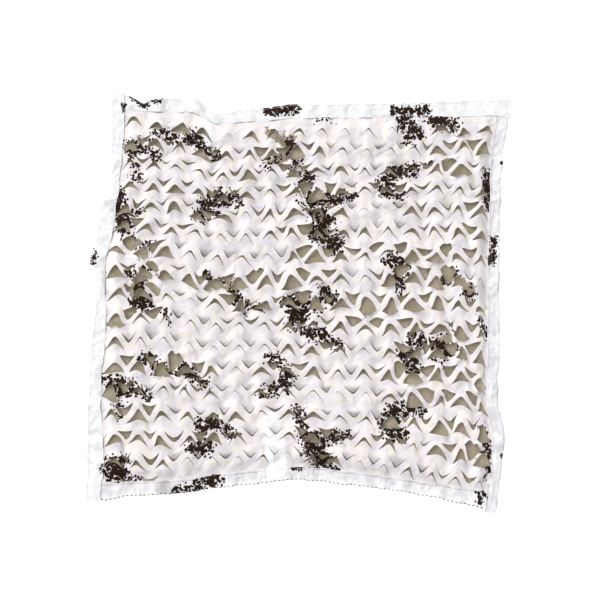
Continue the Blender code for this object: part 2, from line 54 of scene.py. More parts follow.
EDGE_HEIGHT = 0.0019
FOLD_HEIGHT = 0.0028
TAPE_MIDDLE = 0.0005
EDGE_GAP = 0.003
RUN_IN = 0.045
HELD_RUN = 0.012
SHARP_ANGLE = 50

# The four strips. Each row is a station: its place along the edge, the outer fold, the inner
# edge, the lift of the strip off the ground, the extra room in its fold and the puff of its
# upper layer. Columns that are left off at a row's end are 0.
ALONG, OUTER, INNER, LIFT, ROOM, PUFF = range(6)
LEFT_STRIP = (
    (0.784, -0.700, -0.650, 0, LAP_ROOM),
    (0.704, -0.700, -0.652, 0, LAP_ROOM),
    (0.649, -0.698, -0.653),
    (0.517, -0.700, -0.665, 0, 0, 0.002),
    (0.405, -0.704, -0.674, 0, 0, 0.001),
    (0.391, -0.730, -0.679, 0, 0, 0.004),
    (0.330, -0.740, -0.685, 0, 0, 0.001),
    (0.255, -0.755, -0.698, 0, 0, 0.001),
    (0.180, -0.777, -0.717, 0, 0, 0.002),
    (0.124, -0.781, -0.725, 0, 0, 0.005),
    (0.075, -0.762, -0.724, 0, 0, 0.006),
    (0.041, -0.755, -0.723, 0, 0, 0.001),
    (-0.064, -0.766, -0.721),
    (-0.158, -0.775, -0.725),
    (-0.251, -0.781, -0.736, 0, 0, 0.002),
    (-0.364, -0.788, -0.740),
    (-0.514, -0.792, -0.732),
    (-0.600, -0.794, -0.728, 0, 0, 0.001),
    (-0.655, -0.79584, -0.734, 0, LAP_ROOM),
    (-0.744, -0.79584, -0.743, 0, LAP_ROOM),
)

TOP_STRIP = (
    (-0.691, 0.780, 0.722, LAP_LIFT),
    (-0.642, 0.778, 0.722, LAP_LIFT),
    (-0.616, 0.767, 0.720, 0.0011),
    (-0.578, 0.750, 0.719, 0.0007),
    (-0.552, 0.761, 0.718, 0.0005),
    (-0.500, 0.769, 0.716, 0, 0, 0.001),
    (-0.443, 0.765, 0.715, 0, 0, 0.001),
    (-0.395, 0.776, 0.716, 0, 0, 0.004),
    (-0.376, 0.763, 0.707, 0, 0, 0.007),
    (-0.335, 0.729, 0.682, 0, 0, 0.004),
    (-0.312, 0.713, 0.671, 0, 0, 0.001),
    (-0.218, 0.722, 0.677),
    (-0.132, 0.731, 0.682, 0, 0, 0.001),
    (0.007, 0.746, 0.694),
    (0.194, 0.748, 0.694),
    (0.382, 0.750, 0.698, 0, 0, 0.001),
    (0.569, 0.757, 0.698),
    (0.682, 0.761, 0.701),
    (0.728, 0.763, 0.702, 0, LAP_ROOM),
    (0.796, 0.767, 0.693, 0, LAP_ROOM),
)

RIGHT_STRIP = (
    (0.757, 0.788, 0.745, LAP_LIFT),
    (0.690, 0.788, 0.740, LAP_LIFT),
    (0.611, 0.775, 0.730, 0.0007),
    (0.525, 0.766, 0.721),
    (0.386, 0.760, 0.717, 0, 0, 0.002),
    (0.236, 0.757, 0.715),
    (0.094, 0.755, 0.710, 0, 0, 0.001),
    (0.071, 0.753, 0.710, 0, 0, 0.006),
    (0.041, 0.755, 0.710, 0, 0, 0.001),
    (-0.064, 0.757, 0.709),
    (-0.176, 0.757, 0.709),
    (-0.289, 0.750, 0.706, 0, 0, 0.002),
    (-0.334, 0.749, 0.704, 0, 0, 0.007),
    (-0.383, 0.751, 0.709, 0, 0, 0.003),
    (-0.439, 0.766, 0.716, 0, 0, 0.002),
    (-0.502, 0.775, 0.723, 0, 0, 0.004),
    (-0.559, 0.770, 0.725, 0, 0, 0.002),
    (-0.634, 0.760, 0.721, 0, 0, 0.003),
    (-0.686, 0.754, 0.711, 0, LAP_ROOM),
    (-0.7839, 0.740, 0.697, 0, LAP_ROOM),
)

BOTTOM_STRIP = (
    (-0.783, -0.742, -0.679, LAP_LIFT),
    (-0.728, -0.740, -0.675, LAP_LIFT),
    (-0.668, -0.729, -0.672, 0.0008),
    (-0.590, -0.722, -0.669),
    (-0.473, -0.716, -0.664, 0, 0, 0.001),
    (-0.301, -0.693, -0.643),
    (-0.181, -0.681, -0.630),
    (-0.121, -0.674, -0.622, 0.001, 0, 0.002),
    (-0.095, -0.670, -0.619, 0.006, 0, 0.003),
    (-0.050, -0.664, -0.615, 0.009, 0, 0.003),
    (0.007, -0.661, -0.615, 0.006, 0, 0.002),
    (0.055, -0.667, -0.617, 0, 0, 0.001),
    (0.175, -0.681, -0.630),
    (0.277, -0.692, -0.643, 0, 0, 0.001),
    (0.494, -0.727, -0.675),
    (0.607, -0.752, -0.690, 0.0006),
    (0.683, -0.769, -0.700, LAP_LIFT),
    (0.734, -0.780, -0.709, LAP_LIFT),
)

# The lattice of slits: ^ slits on the crests of zigzag lines and v slits on the troughs of the
# lines half a row below. Places across count in waves and places down in rows.
FIRST_CREST = 0.42
WAVES_ACROSS = 15.82
ROWS_ABOVE = 0.52
ROWS_LEFT = 16.62
ROWS_RIGHT = 15.82
ROW_BUNCHING = 0.30
BUNCHED_SHARE = 0.62
CREST_SLITS = 16
SLIT_ROWS = 17
LINE_DEPTH = 0.61
LINE_SHARPNESS = 0.955
SHARPNESS_LOSS = 0.20
CREST_HALF = 0.39
TROUGH_HALF = 0.335
CREST_MIDDLE = 0.40
TROUGH_MIDDLE = 0.75
WAVE_LENGTH = 0.092
ROW_DEPTH = 0.084

# How the slits open. A pull shifts the troughs' lines by part of a row. The rest are shares of
# a slit's depth: the most and least that opens without a pull, how late the v slits follow
# one, the most that any slit opens, and how much like ones differ.
STAGGER = 0.155
FAR_STAGGER = 0.05
FAR_PULL = (0.6, 0.4)
CREST_REST = 0.54
CREST_LEAST = 0.09
TROUGH_REST = 0.26
TROUGH_LAG = 0.64
MOST_OPENING = 1.25
OPENING_SPREAD = 0.80

# The net near the strips: the run over which slits come to open, how far under a strip v slits
# are cut, the least cloth left in a leaf and the least whole leaf, in rows, how far in the drift
# is held, how far the cloth runs in under the strips, as a share of its size, and the least
# step between points, in waves.
SHUT_RIM = 0.016
UNDER_RIM = 0.012
LEAST_LEAF = 0.06
LEAST_ROOM = 0.3
HOLD_REACH = 0.06
EDGE_RUN = 0.009
LEAST_STEP = 0.02

# Near enough: for two places, for points that merge, and in rounds for where two strips meet.
TINY = 1e-6
MERGE_DISTANCE = 2e-5
MEETING_ROUNDS = 8

# Where points lie along one wave, closest where the slits turn and end, and across a strip of
# leaves or a ribbon.
WAVE_SHARES = (
    0, 0.05, 0.11, 0.165, 0.22, 0.30, 0.39, 0.45,
    0.50, 0.55, 0.61, 0.70, 0.78, 0.835, 0.89, 0.95,
)
LEAF_SHARES = (0, 0.13, 0.28, 0.46, 0.66, 0.84, 1)
RIBBON_SHARES = (0, 0.33, 0.67, 1)

# Salts that keep a slit's scattered values apart.
CREST_SALT, TROUGH_SALT = 1, 2
REST_SALT = 2
LEFT_END_SALT, RIGHT_END_SALT, SKEW_SALT = 10, 20, 30
CREST_SAG_SALT, TROUGH_SAG_SALT = 5, 6
RISE_SALT, DIP_SALT, OVERLAP_SALT = 41, 42, 43

# Where the cloth has crept: middle of each patch, half sizes and how far it has moved.
CREEPS = (
    (-0.03, 0.15, 0.26, 0.14, 0.022, -0.004),
    (0.21, -0.31, 0.26, 0.19, 0.026, -0.011),
    (0.49, -0.27, 0.19, 0.21, 0.019, 0.037),
    (0.66, -0.25, 0.15, 0.28, 0.004, 0.026),
    (0.51, 0.24, 0.28, 0.15, 0.007, 0.030),
    (-0.65, 0.05, 0.22, 0.26, 0.004, 0.030),
    (-0.56, -0.23, 0.34, 0.19, 0.006, 0.017),
    (0.33, 0.01, 0.19, 0.11, 0.015, 0.015),
    (-0.64, 0.69, 0.09, 0.08, 0.000, 0.019),
    (0.63, 0.55, 0.11, 0.09, 0.015, 0.019),
)

# Where the net is pulled open: middle of each patch, half sizes and opening.
STRETCHED = (
    (-0.62, 0.69, 0.07, 0.05, 0.80),
    (-0.45, 0.67, 0.09, 0.05, 0.90),
    (-0.58, 0.60, 0.10, 0.06, 0.95),
    (-0.50, 0.44, 0.12, 0.12, 0.65),
    (-0.33, 0.42, 0.06, 0.05, 0.65),
    (-0.22, 0.42, 0.05, 0.05, 0.55),
    (-0.33, 0.53, 0.07, 0.05, 0.70),
    (-0.64, 0.34, 0.07, 0.10, 0.80),
    (-0.45, 0.32, 0.06, 0.05, 0.95),
    (-0.33, 0.32, 0.07, 0.05, 1.25),
    (-0.20, 0.48, 0.07, 0.04, 0.80),
    (-0.10, 0.31, 0.06, 0.05, 0.85),
    (-0.06, 0.58, 0.10, 0.08, 1.05),
    (0.03, 0.42, 0.09, 0.10, 0.95),
    (0.00, 0.30, 0.08, 0.06, 1.05),
    (0.01, 0.19, 0.07, 0.06, 1.40),
    (0.12, 0.20, 0.05, 0.05, 1.00),
    (-0.67, 0.20, 0.08, 0.05, 1.30),
    (-0.55, 0.19, 0.08, 0.06, 1.35),
    (-0.56, 0.09, 0.07, 0.05, 1.55),
    (-0.67, 0.08, 0.06, 0.06, 1.10),
    (-0.67, -0.02, 0.06, 0.06, 1.20),
    (-0.56, -0.01, 0.06, 0.05, 1.10),
    (-0.44, 0.09, 0.05, 0.05, 0.75),
    (-0.33, 0.08, 0.07, 0.05, 1.35),
    (-0.22, 0.08, 0.07, 0.05, 1.70),
    (-0.11, 0.08, 0.06, 0.05, 1.15),
    (0.01, 0.08, 0.06, 0.06, 1.50),
    (0.12, 0.10, 0.05, 0.05, 0.85),
    (-0.22, -0.02, 0.08, 0.05, 1.00),
    (-0.09, -0.02, 0.07, 0.05, 0.90),
    (0.01, -0.02, 0.07, 0.05, 1.10),
    (0.62, 0.66, 0.07, 0.05, 1.20),
    (0.67, 0.64, 0.09, 0.08, 1.25),
    (0.57, 0.54, 0.08, 0.07, 1.15),
    (0.16, 0.49, 0.06, 0.05, 0.80),
    (0.13, 0.42, 0.06, 0.05, 0.85),
    (0.12, 0.31, 0.05, 0.05, 0.90),
    (0.35, 0.43, 0.12, 0.05, 0.80),
    (0.47, 0.32, 0.08, 0.05, 0.90),
    (0.67, 0.32, 0.06, 0.09, 0.80),
    (0.23, 0.22, 0.07, 0.05, 1.00),
    (0.46, 0.21, 0.07, 0.06, 1.35),
    (0.58, 0.20, 0.07, 0.06, 1.10),
    (0.70, 0.20, 0.05, 0.04, 0.90),
    (0.46, 0.09, 0.09, 0.06, 1.00),
    (0.57, 0.08, 0.07, 0.06, 1.25),
    (0.35, 0.08, 0.07, 0.05, 1.40),
    (0.68, -0.02, 0.05, 0.05, 1.10),
    (0.27, -0.02, 0.13, 0.06, 1.15),
    (0.46, -0.03, 0.11, 0.06, 1.15),
    (0.12, -0.13, 0.07, 0.05, 0.75),
    (0.58, -0.14, 0.09, 0.08, 1.20),
    (0.45, -0.15, 0.08, 0.06, 1.10),
    (0.49, -0.26, 0.16, 0.06, 1.20),
    (0.67, -0.34, 0.07, 0.10, 1.15),
    (0.56, -0.36, 0.06, 0.05, 1.15),
    (0.46, -0.36, 0.07, 0.06, 1.00),
    (0.56, -0.48, 0.09, 0.06, 1.10),
    (0.69, -0.47, 0.06, 0.06, 0.90),
    (0.68, -0.58, 0.06, 0.06, 1.60),
    (0.56, -0.59, 0.06, 0.05, 0.90),
    (0.34, -0.47, 0.09, 0.05, 0.90),
    (0.24, -0.50, 0.04, 0.03, 0.70),
    (0.40, -0.42, 0.14, 0.08, 0.55),
    (-0.68, -0.14, 0.06, 0.06, 0.80),
    (-0.67, -0.25, 0.07, 0.05, 1.15),
    (-0.55, -0.24, 0.07, 0.05, 0.90),
    (-0.44, -0.25, 0.07, 0.05, 1.50),
    (-0.33, -0.25, 0.05, 0.05, 0.85),
    (-0.10, -0.25, 0.07, 0.05, 0.80),
    (-0.11, -0.36, 0.05, 0.04, 0.80),
    (0.34, -0.36, 0.05, 0.04, 0.80),
    (0.67, -0.24, 0.06, 0.05, 1.10),
    (-0.69, -0.37, 0.06, 0.07, 1.10),
    (-0.56, -0.40, 0.12, 0.05, 0.70),
    (-0.68, -0.48, 0.06, 0.06, 1.15),
    (-0.52, -0.48, 0.16, 0.06, 0.80),
    (-0.66, -0.56, 0.07, 0.04, 0.60),
    (-0.55, -0.60, 0.06, 0.05, 0.75),
    (-0.60, -0.66, 0.09, 0.03, 0.55),
    (-0.71, -0.22, 0.03, 0.10, 0.80),
    (-0.71, -0.47, 0.03, 0.10, 0.80),
    (-0.33, -0.48, 0.08, 0.06, 0.80),
    (0.06, -0.20, 0.08, 0.06, 0.80),
    (0.01, -0.47, 0.07, 0.06, 0.80),
    (0.12, -0.47, 0.06, 0.05, 0.65),
    (0.11, -0.58, 0.06, 0.05, 0.80),
)

# Where the net lies shut: middle of each patch and half sizes.
SHUT = (
    (0.34, 0.32, 0.06, 0.05),
    (-0.44, 0.21, 0.04, 0.04),
    (-0.33, 0.20, 0.06, 0.04),
    (-0.22, 0.20, 0.06, 0.05),
    (-0.11, 0.20, 0.06, 0.04),
    (0.23, 0.09, 0.05, 0.04),
    (0.69, 0.09, 0.05, 0.04),
    (-0.44, -0.02, 0.06, 0.04),
    (-0.55, -0.13, 0.06, 0.04),
    (-0.37, -0.14, 0.12, 0.05),
    (-0.22, -0.25, 0.06, 0.05),
    (0.12, -0.36, 0.06, 0.05),
    (0.23, -0.36, 0.06, 0.05),
    (0.23, -0.58, 0.06, 0.05),
    (-0.08, -0.56, 0.05, 0.08),
)

# How the cloth lies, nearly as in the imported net. Each swell is a wave: its length, direction
# in degrees, start and height.
LIE_HEIGHT = 0.0115
LEAST_HEIGHT = 0.0012
SWELLS = (
    (0.34, 20, 0, 0.0016),
    (0.23, 105, 0, 0.0014),
    (0.17, 60, 0, 0.0009),
)

# Ridges: start, end, half width and rise.
RIDGES = (
    (0.037, -0.66, 0.045, -0.50, 0.050, 0.018),
    (-0.095, -0.64, -0.100, -0.53, 0.022, 0.006),
    (-0.345, 0.70, -0.280, 0.64, 0.030, 0.007),
    (-0.520, 0.70, -0.500, 0.62, 0.026, 0.005),
    (-0.700, 0.12, -0.600, 0.08, 0.030, 0.006),
    (0.690, 0.07, 0.620, 0.05, 0.026, 0.005),
    (0.690, -0.33, 0.640, -0.36, 0.026, 0.006),
)

# Finer folds, in the swells' columns, and how far and how fast they wander from straight lines.
FOLD_WANDER = 0.35
WANDER_DOWN, WANDER_ACROSS = 9, 7
RUMPLES = (
    (0.113, 35, 0.4, 0.0022),
    (0.081, 128, 2.1, 0.0016),
    (0.057, 80, 4.0, 0.0010),
    (0.041, 10, 5.2, 0.0006),
)

# How the stretched parts are pulled askew and how the whole cloth drifts, in the same columns.
TUGS = (
    (0.125, 25, 0.7, 0.0052),
    (0.104, 112, 2.9, 0.0046),
    (0.083, 70, 4.4, 0.0026),
)
DRIFTS = (
    (0.31, 62, 0.3, 0.0022),
    (0.19, 140, 1.9, 0.0020),
    (0.127, 15, 3.3, 0.0020),
    (0.101, 97, 5.0, 0.0018),
    (0.073, 51, 1.1, 0.0012),
)

# The leaves: the least and most that the tip of a shut ^ leaf stands up and that of a shut v
# leaf dips, how far the ribbon below rises over it, and how far a leaf that is pulled open curls.
CREST_RISE = (-0.0005, 0.0042)
TROUGH_DIP = (0.0050, 0.0105)
RIBBON_RISE = 0.0034
OPEN_CURL = 0.0055

# The ribbons' own bulge, how fast a lip's rise fades across its leaf, how far a shut v leaf
# laps over the ribbon below or falls short of it, how far shut lips lean to one side, and the
# powers that bend the leaves and fade the painted shadow line along a shut v leaf's lip.
RIBBON_BULGE = 0.0006
RISE_FADE = 1.5
OVERLAP = (-0.085, 0.045)
LEAN = 0.60
CREST_BEND = 1.7
TROUGH_BEND = 1.0
LIP_SHADOW_FADE = 4

# A slit counts as shut, slack or dipping below these openings. Some slack ones are shorter.
SHUT_BELOW = 0.5
SLACK_BELOW = 0.3
DIP_BELOW = 0.85
SHORTER = 0.09
SHORT_LEFT, SHORT_RIGHT = 0.7, 0.8

# How far an open leaf's lip hangs past its chord: least and most, its skew and what is added
# past an opening, with the run over which it comes in.
SAG = (-0.13, 0.11)
SAG_SKEW = 0.8
FAR_SAG = 0.07
FAR_OPENING = (0.7, 0.4)

# The soft corrugation that the shut leaves give the cloth: ridges under the crests.
CORRUGATION = 0.0023
VALLEY_PLACE = 0.52

# How the print thins out past a stroke's middle, in half widths.
PRINT_CORE = 0.66
PRINT_FRINGE = 1.35
PRINT_FALL = 1.25
TAUPE_CORE = 0.2
SLOPE_STEP = 0.002

# The print's blotches as strokes on the flat cloth: start and end in waves across and rows
# down, half width, how densely its brown dots lie and how full its taupe is.
BLOTCHES = (
    (1.0, 0.7, 1.4, 0.6, 0.019, 0.75, 0),
    (1.6, 0.9, 2.1, 0.9, 0.017, 0.7, 0),
    (2.4, 0.8, 2.8, 0.7, 0.022, 0.9, 0),
    (2.9, 0.9, 3.6, 1.2, 0.019, 0.85, 0),
    (-0.3, 1.2, 0.3, 1.2, 0.015, 0.6, 0),
    (0.0, 1.7, 0.3, 1.5, 0.021, 1.0, 0),
    (0.7, 1.3, 1.1, 1.8, 0.019, 0.6, 0.3),
    (0.3, 2.3, 0.2, 3.0, 0.019, 0.5, 0),
    (-0.4, 3.3, -0.2, 3.9, 0.013, 0.8, 0),
    (-0.3, 4.3, 0.1, 4.6, 0.022, 0.9, 0),
    (0.1, 4.5, 0.5, 4.5, 0.019, 0.8, 0.4),
    (-0.2, 4.8, 0.2, 5.4, 0.021, 0.9, 0),
    (0.2, 5.4, 0.6, 5.8, 0.013, 0.6, 0),
    (0.8, 6.0, 1.2, 5.9, 0.019, 0.7, 0),
    (3.3, 3.7, 3.8, 3.2, 0.026, 0.9, 0),
    (3.8, 3.2, 4.4, 3.3, 0.022, 0.85, 0),
    (4.4, 3.3, 4.8, 3.6, 0.017, 0.7, 0),
    (3.2, 4.1, 3.6, 3.9, 0.024, 1.0, 0),
    (2.9, 4.5, 3.2, 4.5, 0.013, 0.5, 0),
    (6.7, 0.6, 6.8, 1.2, 0.015, 0.9, 0.8),
    (5.8, 0.2, 6.8, 0.6, 0.030, 0.0, 0.9),
    (6.2, 1.6, 6.9, 1.2, 0.034, 0.0, 0.9),
    (5.8, 1.7, 6.3, 1.4, 0.022, 0.6, 0.5),
    (5.8, 0.0, 6.2, 0.1, 0.011, 0.4, 0),
    (6.9, 2.1, 7.1, 1.6, 0.015, 0.8, 0.5),
    (0.5, 7.3, 0.8, 7.4, 0.015, 0.9, 0),
    (1.0, 7.7, 1.0, 8.3, 0.019, 0.9, 1),
    (0.6, 8.7, 1.2, 8.6, 0.017, 0.8, 0.4),
    (1.0, 7.1, 1.1, 7.4, 0.019, 0.5, 0.8),
    (0.9, 7.8, 0.8, 8.4, 0.034, 0.0, 0.9),
    (1.4, 7.0, 1.8, 7.4, 0.015, 0.45, 0),
    (3.7, 7.0, 4.0, 7.3, 0.017, 0.8, 0.6),
    (4.1, 7.1, 4.6, 7.2, 0.017, 0.6, 0.8),
    (4.5, 7.5, 4.8, 7.7, 0.022, 0.0, 0.9),
    (4.7, 7.8, 4.9, 8.0, 0.019, 0.8, 0.6),
    (4.8, 8.0, 5.2, 8.4, 0.019, 0.8, 0),
    (5.4, 8.2, 5.8, 8.3, 0.017, 0.7, 0),
    (2.0, 8.9, 2.2, 9.3, 0.015, 0.5, 0),
    (7.6, -0.5, 8.5, -0.4, 0.011, 0.6, 0),
    (11.5, -0.5, 11.9, 0.5, 0.030, 0.9, 0),
    (11.7, 0.3, 12.1, 0.5, 0.019, 1.0, 0),
    (12.8, -0.30, 13.5, -0.25, 0.026, 0.95, 0.3),
    (13.0, 0.0, 13.3, 0.05, 0.024, 0.85, 0),
    (11.2, 2.3, 12.1, 2.2, 0.022, 0.9, 0),
    (12.1, 2.2, 12.5, 2.0, 0.013, 0.7, 0),
    (11.1, 2.4, 10.8, 3.1, 0.022, 0.9, 0),
    (10.9, 3.2, 11.5, 3.4, 0.022, 0.8, 0),
    (15.2, 2.4, 15.3, 3.1, 0.019, 0.9, 0.3),
    (15.3, 3.1, 15.3, 3.9, 0.015, 0.9, 0.4),
    (7.4, 2.2, 7.6, 2.6, 0.019, 0.85, 0),
    (7.4, 2.9, 7.7, 3.4, 0.022, 0.85, 0),
    (7.9, 3.6, 8.7, 3.6, 0.026, 0.9, 0.3),
    (8.7, 3.6, 9.4, 3.5, 0.019, 0.9, 0),
    (7.8, 4.2, 8.4, 4.7, 0.030, 0.85, 0.8),
    (7.9, 5.1, 8.8, 5.7, 0.030, 0.95, 0),
    (8.8, 6.0, 9.0, 6.0, 0.015, 0.6, 0),
    (7.1, 3.6, 7.3, 3.8, 0.015, 0.4, 0),
    (11.1, 6.4, 11.6, 6.7, 0.022, 0.8, 0.5),
    (11.4, 6.5, 11.4, 7.6, 0.021, 0.9, 0.5),
    (11.6, 6.4, 11.8, 7.0, 0.015, 0.5, 0),
    (13.4, 7.1, 13.7, 6.9, 0.019, 0.9, 0.3),
    (13.7, 7.0, 14.5, 7.5, 0.026, 0.2, 1),
    (14.1, 7.6, 14.5, 7.7, 0.015, 0.5, 0.6),
    (8.3, 7.8, 8.6, 8.0, 0.019, 0.8, 0.3),
    (1.1, 11.0, 1.5, 10.9, 0.019, 0.75, 0.4),
    (1.7, 11.2, 2.3, 11.3, 0.022, 0.6, 0.8),
    (2.9, 11.2, 3.2, 11.5, 0.022, 0.95, 0.7),
    (3.4, 11.6, 3.8, 11.8, 0.019, 0.6, 0.8),
    (-0.3, 11.7, 0.0, 12.0, 0.017, 0.8, 0),
    (0.0, 12.0, 0.6, 12.1, 0.024, 0.9, 0.6),
    (0.6, 11.9, 1.4, 12.4, 0.017, 0.8, 0),
    (0.3, 12.7, 0.3, 13.3, 0.017, 0.5, 0.3),
    (6.3, 10.6, 6.8, 10.9, 0.019, 0.7, 0),
    (6.8, 10.9, 7.1, 11.4, 0.019, 0.8, 0),
    (7.1, 11.4, 6.9, 11.9, 0.021, 0.9, 0),
    (6.9, 12.0, 6.2, 12.2, 0.021, 0.75, 0),
    (3.6, 13.6, 4.1, 13.5, 0.022, 0.85, 0.4),
    (4.1, 13.6, 4.8, 14.0, 0.022, 0.75, 0),
    (3.6, 13.7, 3.5, 14.3, 0.021, 0.85, 0),
    (3.2, 14.5, 3.8, 14.7, 0.021, 0.95, 0),
    (-0.3, 15.2, 0.3, 15.2, 0.022, 0.7, 0.5),
    (-0.2, 15.5, 0.3, 15.8, 0.024, 0.95, 0.3),
    (0.7, 16.0, 1.1, 15.9, 0.015, 0.6, 0),
    (5.5, 8.2, 5.9, 8.5, 0.015, 0.6, 0),
    (7.1, 8.2, 7.4, 8.9, 0.030, 1.0, 0.3),
    (7.4, 8.1, 8.0, 8.4, 0.026, 0.7, 0),
    (8.0, 8.2, 8.5, 8.1, 0.015, 0.5, 0),
    (7.8, 9.4, 8.3, 9.6, 0.022, 0.9, 0),
    (8.3, 9.6, 8.9, 9.9, 0.022, 0.75, 0),
    (11.9, 9.6, 12.2, 9.9, 0.022, 0.9, 0),
    (11.6, 10.2, 12.0, 10.8, 0.024, 0.9, 0),
    (12.9, 9.9, 13.3, 10.2, 0.024, 0.9, 0.5),
    (13.3, 10.2, 13.7, 10.0, 0.015, 0.8, 0),
    (13.0, 9.6, 13.5, 9.3, 0.015, 0.4, 0),
    (12.9, 10.5, 13.1, 10.7, 0.015, 0.5, 0),
    (12.8, 9.9, 13.4, 9.7, 0.026, 0.0, 0.8),
    (14.9, 8.7, 15.3, 9.1, 0.017, 0.7, 0.3),
    (11.1, 12.8, 11.6, 12.6, 0.021, 0.85, 0),
    (11.6, 12.6, 12.3, 12.7, 0.019, 0.8, 0),
    (11.0, 12.9, 10.8, 13.5, 0.022, 0.9, 0),
    (10.9, 13.7, 11.4, 13.8, 0.024, 0.8, 0),
    (7.4, 13.0, 7.6, 13.7, 0.022, 0.8, 0),
    (7.7, 14.2, 8.3, 14.4, 0.026, 0.9, 0),
    (8.6, 14.2, 9.3, 13.9, 0.017, 0.85, 0),
    (7.9, 14.8, 8.6, 15.3, 0.030, 0.95, 0),
    (8.3, 15.4, 9.1, 15.6, 0.015, 0.7, 0),
    (15.0, 13.3, 15.2, 13.9, 0.019, 0.85, 0),
    (15.1, 13.9, 15.3, 14.6, 0.019, 0.85, 0.3),
)

# Marks on the strips: start and end in metres, half width and how densely the dots lie.
STRIP_MARKS = (
    (-0.627, 0.770, -0.600, 0.760, 0.008, 0.8),
    (-0.593, 0.754, -0.572, 0.744, 0.012, 1.0),
    (-0.552, 0.758, -0.518, 0.756, 0.009, 0.8),
    (-0.655, 0.740, -0.653, 0.722, 0.008, 1.0),
    (-0.113, 0.724, -0.016, 0.727, 0.019, 0.9),
    (0.362, 0.718, 0.478, 0.716, 0.019, 0.85),
    (-0.766, 0.195, -0.766, 0.150, 0.011, 0.7),
    (0.730, 0.236, 0.723, 0.154, 0.015, 0.8),
    (0.760, 0.525, 0.760, 0.525, 0.006, 1.0),
    (0.764, -0.570, 0.764, -0.574, 0.006, 1.0),
    (-0.455, -0.709, -0.368, -0.690, 0.019, 0.8),
    (-0.376, -0.679, -0.305, -0.660, 0.022, 0.85),
    (-0.016, -0.611, 0.010, -0.611, 0.013, 0.9),
    (0.685, -0.716, 0.689, -0.750, 0.015, 0.7),
    (-0.743, -0.615, -0.736, -0.630, 0.011, 0.7),
)

# Edge strips: their grid step, their width folded and cut, the place where they start to cross
# at the corners, the run over which their crumples fade there, and how near an even grid line
# may lie to one of the table's own places, in steps.
STRIP_STEP = 0.0055
STRIP_WIDTH = 0.050
LAP_START = 0.60
LAP_RUN = 0.03
STATION_ROOM = 0.4

# One fold's section: shares from the inner edge to the fold, and turns round it in degrees.
LOWER_SHARES = (0, 0.35, 0.7, 1)
FOLD_TURNS = (-45, 0, 45)
UPPER_SHARES = (1, 0.93, 0.84, 0.72, 0.6, 0.48, 0.36, 0.25, 0.15, 0.06, 0)
FOLD_HALF = 0.003
QUARTER_TURN = 1.57

# The seam's place across, its press and reach, and the flare of the hem beside it.
SEAM_SHARE = 0.12
SEAM_DEPTH = 0.0005
SEAM_REACH = 0.035
HEM_FLARE = 0.0010
SEAM_PLACE = STRIP_WIDTH * (1 - SEAM_SHARE) + FOLD_HALF
PUFF_FALL = 0.7
LEAST_RELIEF = -0.0007
CREASE_RUN = 0.003

# Lines of stitches: how far in from the middle of the fold, their step, their half width and
# half of a stitch's own length as a share of the step.
STITCH_LENGTH = 0.0065
SEAM_STITCH = (SEAM_PLACE, STITCH_LENGTH, 0.0007, 0.31)
FINE_STITCH = (0.0075, STITCH_LENGTH, 0.0007, 0.31)
EDGE_STITCH = (0.0042, 0.0158, 0.0017, 0.19)

# Crumples over the strips, in the swells' columns: puckers, which are strongest at the seam,
# long waves over the cloth, and waves along both of its edges.
PUCKER_WIDTH = 0.05
PUCKER_REACH = 0.22
PUCKER_LEAST = 0.35
WAVE_WIDTH = 0.03
SIDE_SHIFT = 3.7
PUCKERS = (
    (0.0135, 4, 0.2, 0.00028),
    (0.0173, -6, 1.4, 0.00025),
    (0.0231, 9, 3.0, 0.00030),
)
STRIP_WAVES = (
    (0.067, 18, 0.8, 0.0011),
    (0.103, -25, 2.6, 0.0012),
    (0.151, 12, 4.4, 0.0010),
)
EDGE_WAVES = (
    (0.047, 0, 0.5, 0.0008),
    (0.081, 40, 2.2, 0.0010),
    (0.139, 15, 3.9, 0.0011),
)

# Creases over the strips: place along, slant across the strip, rise and how far it fades.
TOP_CREASES = (
    (-0.500, 0.012, 0.0022, -0.030),
    (-0.398, 0.020, 0.0026, 0.030),
    (-0.360, -0.075, 0.0042, -0.030),
    (-0.318, -0.012, 0.0018, 0.020),
    (0.120, 0.015, 0.0016, -0.020),
    (0.440, -0.010, 0.0016, -0.025),
)
RIGHT_CREASES = (
    (-0.334, 0.010, 0.0036, -0.025),
    (0.072, -0.006, 0.0026, 0.020),
    (0.380, 0.014, 0.0018, 0.030),
    (-0.500, 0.012, 0.0022, 0.025),
    (-0.694, -0.129, 0.0026, -0.030),
)
BOTTOM_CREASES = (
    (-0.470, 0.010, 0.0018, -0.030),
    (-0.120, 0.004, 0.0030, -0.020),
    (0.047, -0.004, 0.0030, 0.020),
    (0.330, -0.012, 0.0020, -0.030),
)
LEFT_CREASES = (
    (0.394, -0.004, 0.0042, -0.035),
    (0.110, 0.030, 0.0030, -0.018),
    (0.150, -0.050, 0.0024, 0.015),
    (-0.310, 0.012, 0.0018, -0.030),
)

# Painted highlights on folds that catch the light: strokes from place to place and their half
# width.
BRIGHT_FOLDS = (
    (-0.100, -0.440, -0.068, -0.700, 0.038),
    (-0.350, 0.700, -0.330, 0.610, 0.022),
)
BRIGHT_CORE = 0.6
BRIGHT_FRINGE = 0.6
BRIGHT = (1.0, 1.0, 1.0, 1)

# A worn place on the strips: its middle and reach, and how crisp its edge is.
WORN_PATCH = (-0.500, -0.695, 0.040)
WORN_EDGE = 4

